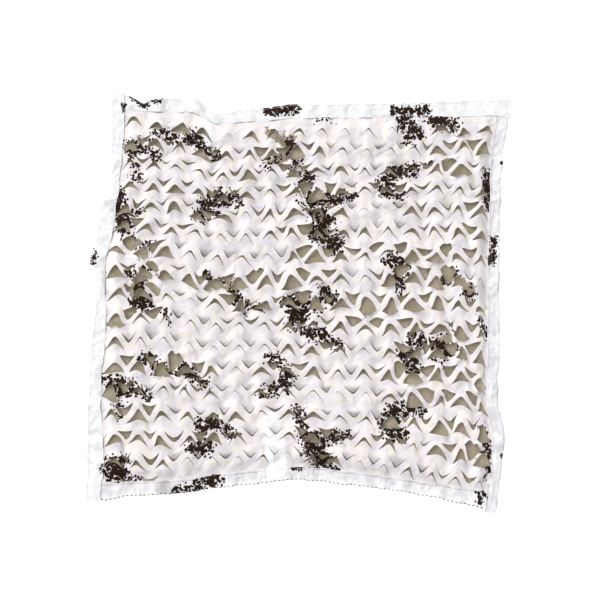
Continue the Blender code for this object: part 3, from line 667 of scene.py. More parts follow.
# Colours. A noise is its scale, detail and roughness, and its edges are where a ramp over it
# starts and ends.
BROWN = (0.012, 0.0050, 0.0025, 1)
LIGHT_BROWN = (0.030, 0.0125, 0.0060, 1)
TAUPE = (0.36, 0.30, 0.23, 1)
CLOTH_TINTS = ((0.920, 0.855, 0.806, 1), (0.838, 0.795, 0.832, 1))
# Painted shade on shut v leaves that dip toward the ground; the same tint marks the worn place on
# the strips.
DIP_SHADE_AND_WEAR_TINT = (0.66, 0.635, 0.63, 1)
DIP_SHADE_DEPTH = 0.0045
DIP_SHADE_BEND = 0.5
# A painted shadow line along the lips of shut v leaves, where they tuck under the ribbon.
LIP_SHADOW_TINT = (0.25, 0.225, 0.205, 1)
LIP_SHADOW_EDGES = (0.30, 0.65)
CLOUDS = (20.0, 3.0)
CLOUD_EDGES = (0.38, 0.62)
# Painted shade of small wrinkles, as grey patches scattered at random.
WRINKLE_SHADE_TINT = (0.64, 0.62, 0.65, 1)
WRINKLE_SHADE_NOISE = (30.0, 3.0, 0.6)
WRINKLE_SHADE_EDGES = (0.52, 0.70)
WRINKLE_SHADE_SHARE = 0.55
STRIP_RIM = (0.95, 0.945, 0.95, 1)
RIM_SHARES = (0.25, 0.60)
STRIP_TINTS = ((0.98, 0.98, 0.98, 1), (0.92, 0.925, 0.94, 1))
# Greyer copies of the strip colours for the right and bottom strips: painted shade on the sides
# away from the key light.
SHADED_STRIP_TINTS = ((0.93, 0.915, 0.915, 1), (0.755, 0.735, 0.775, 1))
PALE_STITCH = (0.62, 0.61, 0.62, 1)
DARK_STITCH = (0.22, 0.18, 0.16, 1)
BLACK_STITCH = (0.045, 0.035, 0.035, 1)
GROUND_DARK = (0.250, 0.206, 0.160, 1)
GROUND_PALE = (0.430, 0.360, 0.290, 1)
GROUND_GREEN = (0.300, 0.284, 0.178, 1)
GROUND_PINK = (0.440, 0.330, 0.275, 1)
# The ground glows a little in its own colours: painted light that softens the shadows in the gaps.
GROUND_GLOW = 0.20
SPECKLES = (28.0, 5.0, 0.7)
SPECKLE_EDGES = (0.38, 0.62)
PATCHES = (15.0, 2.0, 0.6)
PATCH_EDGES = (0.44, 0.56)
PATCH_SHARE = 0.65
STREAK_SCALE = (60.0, 14.0, 1.0)
STREAKS = (1.0, 2.0)
STREAK_EDGES = (0.60, 0.70)
STREAK_SHARE = 0.5

# The print's dots: their pitch and scatter, the noise that thins them and its gain, how fast
# they swell, how they join up where they are dense, and their soft edge.
DOT_PITCH = 0.0096
DOT_SCATTER = 0.85
DOT_THINNING = (55.0, 2.0, 0.6)
DOT_GAIN = (1.6, 0.58)
DOT_SWELL = 20.0
DOT_JOIN = (0.72, 0.36)
DOT_EDGES = (-0.03, 0.05)
BROWN_SHADES = (160.0, 1.0)
TAUPE_WEAR = (60.0, 3.0, 0.65)
TAUPE_GAIN = (1.6, -0.8)
TAUPE_EDGES = (0.42, 0.52)

# The cloth's finish and relief. Crumples are the facets' scale and strength, then the creases'
# noise, strength and depth.
CLOTH_ROUGHNESS, STRIP_ROUGHNESS, STAGE_ROUGHNESS = 0.85, 0.8, 0.9
SHEEN = 0.03
SHEEN_ROUGHNESS = 0.6
SPECULAR = 0.1
CLOTH_CRUMPLES = (24.0, 0.75, (45.0, 3.0, 0.55), 0.2, 0.002)
STRIP_CRUMPLES = (34.0, 0.8, (60.0, 3.0, 0.55), 0.4, 0.0015)
FACET_DEPTH = 0.004
FACET_BEND = 1.6
THREAD = 0.0009
WEAVE_STRENGTH, WEAVE_DEPTH = 0.35, 0.0002
STITCH_STRENGTH, STITCH_DEPTH = 0.6, 0.0005
STITCH_FADE = 0.03
STITCH_BLUR = 0.3

# Stage, light and view
FLOOR_SIZE = 90.0
FLOOR_LEVEL = -0.0006
GROUND_LEVEL = -0.0003
FLOOR_COLOUR = (0.93, 0.93, 0.93, 1)
FLOOR_LIGHT = (1, 1, 1, 1)
FLOOR_GLOW = 0.55
GROUND_REACH = 0.012
OUTLINE_POINTS = 40
WORLD_COLOUR = (0.97, 0.98, 1.0, 1)
WORLD_STRENGTH = 0.46
KEY_PLACE = (-2.2, 1.8, 1.9)
KEY_SPREAD = 44
KEY_POWER = 3.3
CAMERA_HEIGHT = 4.0
VIEW_WIDTH = 2.25
VIEW_CENTRE = (0.0066, 0.0113)


def smooth_step(t):
    """0 below 0 and 1 above 1, with a smooth rise between."""
    t = np.clip(t, 0.0, 1.0)
    return t * t * (3 - 2 * t)


def scatter(across, down, salt):
    """Repeatable values from 0 to 1, one for each slit."""
    value = np.sin(across * 12.9898 + down * 78.233 + salt * 37.719) * 43758.5453
    return value - np.floor(value)


def between(limits, wave, row, salt):
    """A repeatable value between two limits for each slit."""
    least, most = limits
    return least + (most - least) * scatter(wave, row, salt)


def past_start(value, span):
    """0 up to a span's start and 1 past its run."""
    start, run = span
    return smooth_step((value - start) / run)


def phase_at(x, y, length, degrees):
    """How many wave lengths a point lies from the origin in a wave's direction."""
    angle = math.radians(degrees)
    return (x * math.cos(angle) + y * math.sin(angle)) / length


def waves(x, y, table):
    """The sum of plane waves, one from each row: wave length, degrees, start and height."""
    total = 0.0
    for length, degrees, start, height in table:
        phase = phase_at(x, y, length, degrees)
        total = total + height * np.sin(2 * math.pi * phase + start)
    return total


def folds(x, y, table):
    """The sum of straight-sided folds that wander across the cloth, one from each row."""
    total = 0.0
    for length, degrees, start, height in table:
        wander = np.sin(WANDER_DOWN * y + start) + np.sin(WANDER_ACROSS * x + 2 * start)
        phase = phase_at(x, y, length, degrees) + FOLD_WANDER * wander
        total = total + height * np.arcsin(np.sin(2 * math.pi * phase + start)) / (math.pi / 2)
    return total


def slopes(places, values):
    """Slopes of a curve through the values that never overshoots them."""
    steps = np.diff(values) / np.diff(places)
    before, after = steps[:-1], steps[1:]
    same_way = before * after > 0
    both = np.where(same_way, before + after, 1.0)
    inside = np.where(same_way, 2 * before * after / both, 0.0)
    return np.concatenate([steps[:1], inside, steps[-1:]])


class Strip:
    """One edge strip's shape as curves along its edge."""

    def __init__(self, stations):
        columns = PUFF + 1
        rows = np.array([row + (0,) * (columns - len(row)) for row in sorted(stations)], float)
        self.places = rows[:, ALONG]
        self.columns = rows.T
        self.tangents = [slopes(self.places, column) for column in self.columns]

    def at(self, column, place):
        """One column's value at a place along the edge, on a smooth curve through its rows."""
        places = self.places
        place = np.clip(place, places[0], places[-1])
        k = np.clip(np.searchsorted(places, place, side="right") - 1, 0, len(places) - 2)
        width = places[k + 1] - places[k]
        t = (place - places[k]) / width
        values = self.columns[column]
        tangents = self.tangents[column]
        return (
            (2 * t**3 - 3 * t**2 + 1) * values[k]
            + (t**3 - 2 * t**2 + t) * width * tangents[k]
            + (3 * t**2 - 2 * t**3) * values[k + 1]
            + (t**3 - t**2) * width * tangents[k + 1]
        )

    def net_lift(self, place):
        """How far the net's edge is lifted inside the fold."""
        return self.at(LIFT, place) + self.at(ROOM, place) / LAP_ROOM * LAP_LIFT


LEFT = Strip(LEFT_STRIP)
TOP = Strip(TOP_STRIP)
RIGHT = Strip(RIGHT_STRIP)
BOTTOM = Strip(BOTTOM_STRIP)


def meeting(upright, level):
    """Where the inner edges of an upright and a level strip cross."""
    x = upright.at(INNER, 0.0)
    for _ in range(MEETING_ROUNDS):
        y = level.at(INNER, x)
        x = upright.at(INNER, y)
    return np.array([x, y])


TOP_LEFT = meeting(LEFT, TOP)
TOP_RIGHT = meeting(RIGHT, TOP)
BOTTOM_RIGHT = meeting(RIGHT, BOTTOM)
BOTTOM_LEFT = meeting(LEFT, BOTTOM)


def zigzag(across, sharpness):
    """From 1 on a crest to -1 in a trough, straight between them and rounded at both."""
    return np.arcsin(sharpness * np.cos(2 * math.pi * across)) / np.arcsin(sharpness)


def rows_at(across):
    """How many rows lie between the top and bottom strips at a place across."""
    s = (across + FIRST_CREST) / WAVES_ACROSS
    return ROWS_LEFT + (ROWS_RIGHT - ROWS_LEFT) * s


def edge_distances(x, y):
    """How far each plan point lies inside the four strips' inner edges."""
    return (
        TOP.at(INNER, x) - y,
        y - BOTTOM.at(INNER, x),
        x - LEFT.at(INNER, y),
        RIGHT.at(INNER, y) - x,
    )


def ruled_point(across, down):
    """The plan place of a wave and row, stretched between the strips' inner edges."""
    s = (across + FIRST_CREST) / WAVES_ACROSS
    rows = rows_at(across)
    t = (down + ROWS_ABOVE) / rows
    t = t - ROW_BUNCHING / rows * np.sin(math.pi * np.clip(t / BUNCHED_SHARE, 0, 1))
    top_x = TOP_LEFT[0] * (1 - s) + TOP_RIGHT[0] * s
    bottom_x = BOTTOM_LEFT[0] * (1 - s) + BOTTOM_RIGHT[0] * s
    left_y = TOP_LEFT[1] * (1 - t) + BOTTOM_LEFT[1] * t
    right_y = TOP_RIGHT[1] * (1 - t) + BOTTOM_RIGHT[1] * t
    x = top_x * (1 - t) + bottom_x * t
    x = x + LEFT.at(INNER, left_y) * (1 - s) + RIGHT.at(INNER, right_y) * s
    y = TOP.at(INNER, top_x) * (1 - t) + BOTTOM.at(INNER, bottom_x) * t
    y = y + left_y * (1 - s) + right_y * s
    flat = [
        (TOP_LEFT[k] * (1 - s) + TOP_RIGHT[k] * s) * (1 - t)
        + (BOTTOM_LEFT[k] * (1 - s) + BOTTOM_RIGHT[k] * s) * t
        for k in (0, 1)
    ]
    return x - flat[0], y - flat[1]


def lattice_point(across, down):
    """The ruled point moved with the cloth, along the strips but not over them."""
    x, y = ruled_point(across, down)
    top, bottom, left, right = edge_distances(x, y)
    hold_x = smooth_step(np.minimum(left, right) / HOLD_REACH)
    hold_y = smooth_step(np.minimum(top, bottom) / HOLD_REACH)
    move_x = waves(x, y, DRIFTS)
    move_y = waves(y, x, DRIFTS)
    for *patch, far_x, far_y in CREEPS:
        share = patch_share(x, y, *patch)
        move_x = move_x + far_x * share
        move_y = move_y + far_y * share
    pull = np.minimum(pull_at(x + move_x, y + move_y), 1)
    move_x = move_x + pull * waves(x, y, TUGS)
    move_y = move_y + pull * waves(y, -x, TUGS)
    return x + move_x * hold_x, y + move_y * hold_y


def patch_share(x, y, spot_x, spot_y, half_x, half_y):
    """1 at the middle of a patch, fading to 0 round it."""
    reach = ((x - spot_x) / half_x) ** 2 + ((y - spot_y) / half_y) ** 2
    return np.exp(-0.5 * reach)


def pull_at(x, y):
    """How far the net is pulled open at a plan point, from the table of patches."""
    pull = np.zeros(np.shape(x))
    for *patch, opening in STRETCHED:
        pull = np.maximum(pull, opening * patch_share(x, y, *patch))
    return pull * (1 - shut_at(x, y))


def shut_at(x, y):
    """How firmly the net lies shut at a plan point, from 0 to 1."""
    shut = np.zeros(np.shape(x))
    for patch in SHUT:
        shut = np.maximum(shut, patch_share(x, y, *patch))
    return shut


def ridge_height(x, y):
    """How far the ridges lift the cloth."""
    height = np.zeros(np.shape(x))
    for *ends, half_width, rise in RIDGES:
        height = height + rise * np.exp(-((stroke_distance(x, y, *ends) / half_width) ** 2))
    return height


def lie_height(x, y):
    """Middle height of the cloth where it lies inside the strips."""
    distances = edge_distances(x, y)
    edge = EDGE_HEIGHT
    for strip, place, distance in zip((TOP, BOTTOM, LEFT, RIGHT), (x, x, y, y), distances):
        edge = edge + strip.net_lift(place) * (1 - smooth_step(distance / RUN_IN))
    nearest = np.minimum.reduce(distances)
    blend = smooth_step((nearest - EDGE_GAP) / RUN_IN)
    free = LIE_HEIGHT + waves(x, y, SWELLS) + ridge_height(x, y) + folds(x, y, RUMPLES)
    return edge * (1 - blend) + np.maximum(free, edge) * blend


def print_strength(along, down):
    """How densely the brown dots and how fully the taupe lie at a flat place on the cloth."""
    dots = np.zeros(np.shape(along))
    taupe = np.zeros(np.shape(along))
    for u0, w0, u1, w1, half_width, brown, under in BLOTCHES:
        ends = (u0 * WAVE_LENGTH, w0 * ROW_DEPTH, u1 * WAVE_LENGTH, w1 * ROW_DEPTH)
        reach = stroke_distance(along, down, *ends) / half_width
        dots = np.maximum(dots, brown * fade(reach))
        taupe = np.maximum(taupe, under * (1 - smooth_step(reach - TAUPE_CORE)))
    return dots, taupe


def fade(reach):
    """How the print thins out from the middle of a stroke, past its half width."""
    return np.clip(1 - (reach - PRINT_CORE) / PRINT_FRINGE, 0, 1) ** PRINT_FALL


def bright_share(x, y):
    """1 on the painted highlights of the folds that catch the light, fading to 0 round them."""
    share = np.zeros(np.shape(x))
    for *ends, half_width in BRIGHT_FOLDS:
        reach = stroke_distance(x, y, *ends) / half_width
        share = np.maximum(share, 1 - smooth_step((reach - BRIGHT_CORE) / BRIGHT_FRINGE))
    return share


def stroke_distance(x, y, x0, y0, x1, y1):
    """Distance from the stroke between two points, which may be the same point."""
    run_x, run_y = x1 - x0, y1 - y0
    length_squared = max(run_x**2 + run_y**2, TINY**2)
    t = np.clip(((x - x0) * run_x + (y - y0) * run_y) / length_squared, 0, 1)
    return np.hypot(x - x0 - run_x * t, y - y0 - run_y * t)


# ---------------------------------------------------------------- the slit cloth


class Lines:
    """The zigzag lines as arrays with a row for each line and a column for each place across.

    Line 0 and the last line are the cloth's top and bottom edges. A line has two sides, which
    part along its slits: the upper side bounds the strip above it and the lower one the next.
    """

    def __init__(self):
        self.across = wave_places()
        count = 2 * SLIT_ROWS + 2
        across = self.across
        self.top = np.full(across.shape, -ROWS_ABOVE - EDGE_RUN * ROWS_LEFT)
        self.bottom = rows_at(across) * (1 + EDGE_RUN) - ROWS_ABOVE
        starts = (np.arange(count)[:, None] - 1) / 2
        self.flat = self.within(starts + LINE_DEPTH * (1 - zigzag(across, LINE_SHARPNESS)) / 2)
        x, y = lattice_point(np.broadcast_to(across, self.flat.shape), self.flat)
        pull = np.minimum(pull_at(x, y), 1)
        rounded = zigzag(across, LINE_SHARPNESS - SHARPNESS_LOSS * pull)
        shift = np.zeros(self.flat.shape)
        shift[2::2] = (STAGGER * pull + FAR_STAGGER * past_start(pull, FAR_PULL))[2::2]
        self.kept = self.within(starts + LINE_DEPTH * (1 - rounded) / 2 + shift)
        shape = self.kept.shape
        self.upper = self.kept.copy()
        self.lower = self.kept.copy()
        self.upper_rise, self.lower_rise = np.zeros(shape), np.zeros(shape)
        self.hinge, self.fall, self.lip = np.zeros(shape), np.zeros(shape), np.zeros(shape)
        self.length = np.ones(shape)
        self.parted = np.zeros(shape, bool)
        for row in range(SLIT_ROWS):
            for wave in range(-1, CREST_SLITS):
                if wave >= 0:
                    self.cut_crest(wave, row)
                self.cut_trough(wave, row)
        for line in range(1, count - 2, 2):
            self.keep_leaf(line)

    def keep_leaf(self, line):
        """Leaves some cloth between a leaf's two lips where both are pulled far."""
        whole = self.kept[line + 1] - self.kept[line] > LEAST_ROOM
        over = self.lower[line] + LEAST_LEAF - self.upper[line + 1]
        over = np.maximum(over, 0) * whole
        lips = self.parted[line].astype(float) + self.parted[line + 1]
        self.lower[line] -= over * self.parted[line] / np.maximum(lips, 1)
        self.upper[line + 1] += over * self.parted[line + 1] / np.maximum(lips, 1)

    def within(self, lines):
        """The lines held inside the cloth, with its own edges as the first and the last one."""
        lines[0] = self.top
        lines[-1] = self.bottom
        return np.clip(lines, self.top, self.bottom)

    def slit(self, line, centre, half, wave, row, salt, middle_share, rest):
        """The places inside one slit, its opening, how far along it each lies and its chord."""
        x, y = lattice_point(centre, (line - 1) / 2 + LINE_DEPTH * middle_share)
        nearest = min(edge_distances(x, y))
        rim = EDGE_GAP if line % 2 else -UNDER_RIM
        if nearest < rim:
            return None
        pull = rest * scatter(wave, row, salt + REST_SALT) ** 2 * (1 - float(shut_at(x, y)))
        pull = max(pull, float(pull_at(x, y)))
        if line % 2 == 0:
            pull *= smooth_step(pull / TROUGH_LAG)
        else:
            pull = max(pull, CREST_LEAST)
        pull *= 1 + OPENING_SPREAD * (scatter(wave, row, salt) - 0.5)
        opening = min(pull, MOST_OPENING) * smooth_step((nearest - rim) / SHUT_RIM)
        cut = SHORTER * (opening < SLACK_BELOW)
        left = half - cut * (scatter(wave, row, salt + LEFT_END_SALT) > SHORT_LEFT)
        right = half - cut * (scatter(wave, row, salt + RIGHT_END_SALT) > SHORT_RIGHT)
        past = self.across - centre
        inside = np.flatnonzero((past > -left + TINY) & (past < right - TINY))
        if len(inside) == 0:
            return None
        share = past[inside] / np.where(past[inside] < 0, left, right)
        start = max(inside[0] - 1, 0)
        end = min(inside[-1] + 1, len(self.across) - 1)
        first, last = self.kept[line, start], self.kept[line, end]
        chord = first + (last - first) * (share + 1) / 2
        return inside, opening, share, chord

    def sag(self, wave, row, salt, opening, share):
        """How far each place on a parted leaf's lip hangs past its chord, in rows."""
        own = between(SAG, wave, row, salt)
        far = own * min(opening, 1) + FAR_SAG * past_start(opening, FAR_OPENING)
        skew = SAG_SKEW * (2 * scatter(wave, row, salt + SKEW_SALT) - 1)
        return far * (1 - share**2) * (1 + skew * share)

    def bend(self, line, inside, rise):
        """Hinges a shut leaf between its slit's ends, so that its tip stands up or dips."""
        rows = self.kept[line, inside]
        hinge = (rows[0] + rows[-1]) / 2
        self.hinge[line, inside] = hinge
        self.length[line, inside] = rows[len(rows) // 2] - hinge
        self.fall[line, inside] = rise

    def leaf_rise(self, line, rows):
        """How far a line's shut leaves stand up or dip from hinge to tip.

        A ^ leaf is steepest at its hinge and level at its tip. A v leaf is the other way round.
        """
        reach = np.clip((rows - self.hinge[line]) / self.length[line], 0, 1)
        if line % 2 == 1:
            return self.fall[line] * (1 - (1 - reach) ** CREST_BEND)
        return self.fall[line] * reach**TROUGH_BEND

    def cut_crest(self, wave, row):
        """A ^ slit. The leaf below its line stands up, or is pulled down off the ribbon."""
        line = 2 * row + 1
        measures = (CREST_HALF, wave, row, CREST_SALT, CREST_MIDDLE, CREST_REST)
        found = self.slit(line, wave, *measures)
        if found is None:
            return
        inside, opening, share, chord = found
        shut, round_tip = shut_and_round(opening, share)
        lean = 1 + LEAN * shut * share
        kept = self.kept[line, inside]
        sag = self.sag(wave, row, CREST_SAG_SALT, opening, share)
        self.lower[line, inside] = kept + opening * lean * (chord - kept) + sag
        self.lower_rise[line, inside] = OPEN_CURL * min(opening, 1) * round_tip
        self.bend(line, inside, between(CREST_RISE, wave, row, RISE_SALT) * shut)
        self.parted[line, inside] = True

    def cut_trough(self, wave, row):
        """A v slit. The leaf above its line dips under the ribbon, or is pulled up off it."""
        line = 2 * row + 2
        measures = (TROUGH_HALF, wave, row, TROUGH_SALT, TROUGH_MIDDLE, TROUGH_REST)
        found = self.slit(line, wave + 0.5, *measures)
        if found is None:
            return
        inside, opening, share, chord = found
        shut, round_tip = shut_and_round(opening, share)
        kept = self.kept[line, inside]
        overlap = between(OVERLAP, wave, row, OVERLAP_SALT)
        moved = opening - overlap * (1 - smooth_step(opening / SLACK_BELOW))
        lean = 1 - math.copysign(LEAN, moved) * shut * share
        sag = self.sag(wave, row, TROUGH_SAG_SALT, opening, share)
        self.upper[line, inside] = kept + moved * lean * (chord - kept) - sag
        self.upper_rise[line, inside] = OPEN_CURL * min(opening, 1) * (1 - shut) * round_tip
        self.lower_rise[line, inside] = RIBBON_RISE * shut * round_tip
        dip = between(TROUGH_DIP, wave, row, DIP_SALT)
        self.bend(line, inside, -dip * (1 - smooth_step(opening / DIP_BELOW)))
        # The lip's painted shadow line, full on shut slits and fading toward their ends.
        self.lip[line, inside] = shut * (1 - share**LIP_SHADOW_FADE)
        self.parted[line, inside] = True


def shut_and_round(opening, share):
    """How shut a slit is, and a round profile along it that is 0 at both of its ends."""
    return 1 - smooth_step(opening / SHUT_BELOW), np.sqrt(np.clip(1 - share**2, 0, 1))


def wave_places():
    """Places across in waves, from just under the left strip to just under the right one."""
    places = (np.arange(-1, CREST_SLITS)[:, None] + np.array(WAVE_SHARES)).ravel()
    run = EDGE_RUN * WAVES_ACROSS
    first = -FIRST_CREST - run
    last = WAVES_ACROSS - FIRST_CREST + run
    inner = places[(places > first + LEAST_STEP) & (places < last - LEAST_STEP)]
    return np.concatenate([[first], inner, [last]])


def add_points(points, across, new, rows, flats, rises, lips):
    """Adds a point where new is true. Gives each place's index, with -1 where none is added."""
    ids = np.full(len(across), -1)
    ids[new] = len(points) + np.arange(new.sum())
    for k in np.flatnonzero(new):
        points.append((across[k], rows[k], flats[k], rises[k], lips[k]))
    return ids


def line_points(points, lines):
    """Adds each line's upper side, and its lower side where it is parted from the upper one."""
    everywhere = np.full(len(lines.across), True)
    none = np.zeros(len(lines.across))
    uppers = []
    lowers = []
    for n in range(len(lines.kept)):
        upper_rise, lower_rise = lines.upper_rise[n], lines.lower_rise[n]
        if n % 2 == 0:
            upper_rise = upper_rise + lines.leaf_rise(n, lines.upper[n])
        else:
            lower_rise = lower_rise + lines.leaf_rise(n, lines.lower[n])
        upper = (lines.upper[n], lines.flat[n], upper_rise, lines.lip[n])
        lower = (lines.lower[n], lines.flat[n], lower_rise, none)
        ids = add_points(points, lines.across, everywhere, *upper)
        parted = add_points(points, lines.across, lines.parted[n], *lower)
        uppers.append(ids)
        lowers.append(np.where(lines.parted[n], parted, ids))
    return uppers, lowers


def inner_row(lines, n, share):
    """Rows, uncut rows and rises at one share of the way from line n to the next one."""
    rows = lines.lower[n] * (1 - share) + lines.upper[n + 1] * share
    flats = lines.flat[n] * (1 - share) + lines.flat[n + 1] * share
    rises = lines.lower_rise[n] * (1 - share) ** RISE_FADE
    rises = rises + lines.upper_rise[n + 1] * share**RISE_FADE
    if n % 2 == 1:
        return rows, flats, rises + lines.leaf_rise(n, rows) + lines.leaf_rise(n + 1, rows)
    return rows, flats, rises + RIBBON_BULGE * 4 * share * (1 - share)


def net_arrays(lines):
    """Points (waves, rows, uncut rows, rise, lip) and four-sided faces of the whole cloth."""
    points = []
    faces = []
    everywhere = np.full(len(lines.across), True)
    none = np.zeros(len(lines.across))
    uppers, lowers = line_points(points, lines)
    for n in range(len(lines.kept) - 1):
        grid = [lowers[n]]
        for share in (LEAF_SHARES if n % 2 == 1 else RIBBON_SHARES)[1:-1]:
            inner = inner_row(lines, n, share)
            grid.append(add_points(points, lines.across, everywhere, *inner, none))
        grid.append(uppers[n + 1])
        past = lines.kept[n] >= lines.bottom - TINY
        for row, after in zip(grid, grid[1:]):
            for k in np.flatnonzero(~(past[:-1] & past[1:])):
                faces.append([row[k], after[k], after[k + 1], row[k + 1]])
    return np.array(points), faces


def set_attributes(mesh, **columns):
    """A value for each point under each name, for the materials."""
    for name, values in columns.items():
        layer = mesh.attributes.new(name, "FLOAT", "POINT")
        layer.data.foreach_set("value", np.asarray(values, np.float32))


def set_map(mesh, across, down):
    """A UV map of the flat cloth, in shares of its size, from a place for each point."""
    across = (across - across.min()) / np.ptp(across)
    down = (down - down.min()) / np.ptp(down)
    corners = np.zeros(len(mesh.loops), np.int32)
    mesh.loops.foreach_get("vertex_index", corners)
    layer = mesh.uv_layers.new(name="OFBake")
    places = np.stack([across[corners], 1 - down[corners]], axis=1)
    layer.uv.foreach_set("vector", places.astype(np.float32).ravel())


def set_places(mesh, name, across, down):
    """Two values for each point, as a vector across and down the flat cloth."""
    layer = mesh.attributes.new(name, "FLOAT_VECTOR", "POINT")
    places = np.stack([across, down, np.zeros(len(across))], axis=1)
    layer.data.foreach_set("vector", places.astype(np.float32).ravel())


def slope_of(strength, x, y):
    """How fast a strength grows along x and along y."""
    step = SLOPE_STEP
    across = (strength(x + step, y) - strength(x - step, y)) / (2 * step)
    down = (strength(x, y + step) - strength(x, y - step)) / (2 * step)
    return across, down


def thicken(piece, thickness):
    """Gives a sheet its thickness for good, smooth over its faces and crisp at its cut edges."""
    shell = piece.modifiers.new("Cloth thickness", "SOLIDIFY")
    shell.thickness = thickness
    shell.offset = 0
    shell.use_even_offset = False
    graph = bpy.context.evaluated_depsgraph_get()
    made = bpy.data.meshes.new_from_object(piece.evaluated_get(graph))
    piece.modifiers.clear()
    made.name = piece.name
    piece.data = made
    made.shade_smooth()
    made.set_sharp_from_angle(angle=math.radians(SHARP_ANGLE))


def add_piece(name, mesh, material):
    """A piece in the scene with its mesh and its one material."""
    piece = bpy.data.objects.new(name, mesh)
    piece.data.materials.append(material)
    bpy.context.scene.collection.objects.link(piece)
    return piece


def make_net(material):
    """The slit cloth as one sheet, with the print's strength at each of its points."""
    lines = Lines()
    points, faces = net_arrays(lines)
    across, rows, flat_rows, rises, lips = points.T
    x, y = lattice_point(across, rows)
    nearest = np.minimum.reduce(edge_distances(x, y))
    held = smooth_step((nearest - EDGE_GAP) / HELD_RUN)
    rises = rises * held
    swell = CORRUGATION * np.cos(2 * math.pi * (across - VALLEY_PLACE)) * held
    z = np.maximum(lie_height(x, y) + rises - swell, LEAST_HEIGHT)
    mesh = bpy.data.meshes.new("slit_cloth")
    mesh.from_pydata(np.stack([x, y, z], axis=1).tolist(), [], faces)
    along = across * WAVE_LENGTH
    down = rows * ROW_DEPTH
    dots, taupe = print_strength(along, down)
    # Painted shade: the deeper a leaf dips, the more of the grey tint it is given.
    sheer = np.clip(-rises / DIP_SHADE_DEPTH, 0, 1) ** DIP_SHADE_BEND
    bright = bright_share(x, y)
    set_attributes(mesh, dots=dots, taupe=taupe, sheer=sheer, lip=lips * held, bright=bright)
    set_places(mesh, "flat", along, down)
    set_places(mesh, "dots_slope", *slope_of(lambda x, y: print_strength(x, y)[0], along, down))
    set_map(mesh, across, flat_rows)
    close_bottom(mesh, rows >= rows_at(across) * (1 + EDGE_RUN) - ROWS_ABOVE - TINY)
    piece = add_piece("slit_cloth", mesh, material)
    thicken(piece, NET_THICKNESS)
    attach(piece, "root")
    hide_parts("net")
    return piece


def close_bottom(mesh, at_bottom):
    """Joins the lines' ends that meet on the cloth's bottom edge."""
    shape = bmesh.new()
    shape.from_mesh(mesh)
    verts = [vert for vert, meets in zip(shape.verts, at_bottom) if meets]
    bmesh.ops.remove_doubles(shape, verts=verts, dist=MERGE_DISTANCE)
    loose = [vert for vert in shape.verts if not vert.link_faces]
    bmesh.ops.delete(shape, geom=loose, context="VERTS")
    shape.to_mesh(mesh)
    shape.free()


# ---------------------------------------------------------------- the folded strips


def strip_stations(strip, step):
    """Places along a strip, evenly spaced, with the table's own places among them."""
    count = round(np.ptp(strip.places) / step)
    even = np.linspace(strip.places[0], strip.places[-1], count + 1)
    near = np.abs(even[:, None] - strip.places[None, :]).min(axis=1) > step * STATION_ROOM
    keep = near | (np.arange(len(even)) % len(even) == 0)
    return np.unique(np.concatenate([even[keep], strip.places]))


def strip_section():
    """One fold's section: the layer (0 lower, 1 upper), the share from inner edge to fold and
    the turn round the fold."""
    lower = [(0, share, -90) for share in LOWER_SHARES]
    fold = [(0.5, 1, turn) for turn in FOLD_TURNS]
    upper = [(1, share, 90) for share in UPPER_SHARES]
    return np.array(lower + fold + upper).T


def strip_rumple(along, share):
    """Small puckers across a strip, closest beside its seam, and long soft waves."""
    puckers = waves(along, share * PUCKER_WIDTH, PUCKERS)
    seam = np.exp(-(((share - SEAM_SHARE) / PUCKER_REACH) ** 2))
    puckers = puckers * (PUCKER_LEAST + (1 - PUCKER_LEAST) * seam)
    return puckers + waves(along, share * WAVE_WIDTH, STRIP_WAVES)


def make_strip(name, strip, runs_across, creases, material):
    """A strip folded round one edge of the net, crumpled, creased and sewn."""
    along = strip_stations(strip, STRIP_STEP)[:, None]
    layer, share, turn = strip_section()
    layer, share, turn = layer[None, :], share[None, :], np.radians(turn)[None, :]
    outer = strip.at(OUTER, along) + waves(along, 0, EDGE_WAVES)
    inner = strip.at(INNER, along) + waves(along, 1, EDGE_WAVES)
    side = np.sign(outer.mean() - inner.mean())
    height = FOLD_HEIGHT + strip.at(ROOM, along)
    low = TAPE_MIDDLE + strip.at(LIFT, along)
    bend = outer - side * (TAPE_MIDDLE + height / 2)
    across = inner + (bend - inner) * share
    across = across + side * height / 2 * np.cos(turn)
    free = smooth_step((LAP_START - np.abs(along)) / LAP_RUN)
    up = layer * np.ones(across.shape)
    relief = strip_rumple(along + SIDE_SHIFT * side, share) * free
    for crease in creases:
        relief = relief + crease_height(along, share, crease)
    puff = strip.at(PUFF, along) * np.sin(math.pi * np.clip(share, 0, 1)) ** PUFF_FALL
    seam = -SEAM_DEPTH * np.exp(-(((share - SEAM_SHARE) / SEAM_REACH) ** 2))
    inside = (1 - free) * np.clip(strip.at(LIFT, along) / LAP_LIFT, 0, 1)
    seam = seam + HEM_FLARE * smooth_step(1 - share / SEAM_SHARE) * (1 - inside)
    z = low + height / 2 * (1 + np.sin(turn))
    z = z + np.where(up == 1, np.maximum(relief + seam, LEAST_RELIEF) + puff, 0)
    x = along + 0 * across if runs_across else across
    y = across if runs_across else along + 0 * across
    return strip_mesh(name, x, y, z, along, share, turn, material)


def crease_height(along, share, crease):
    """A slanting crease: the cloth on one side of its line lies a fold higher than the other."""
    start, slant, rise, fade = crease
    past = (along - start - slant * (share - 0.5)) * math.copysign(1, fade)
    step = smooth_step(past / CREASE_RUN)
    return rise * step * np.exp(-np.maximum(past, 0) / abs(fade))


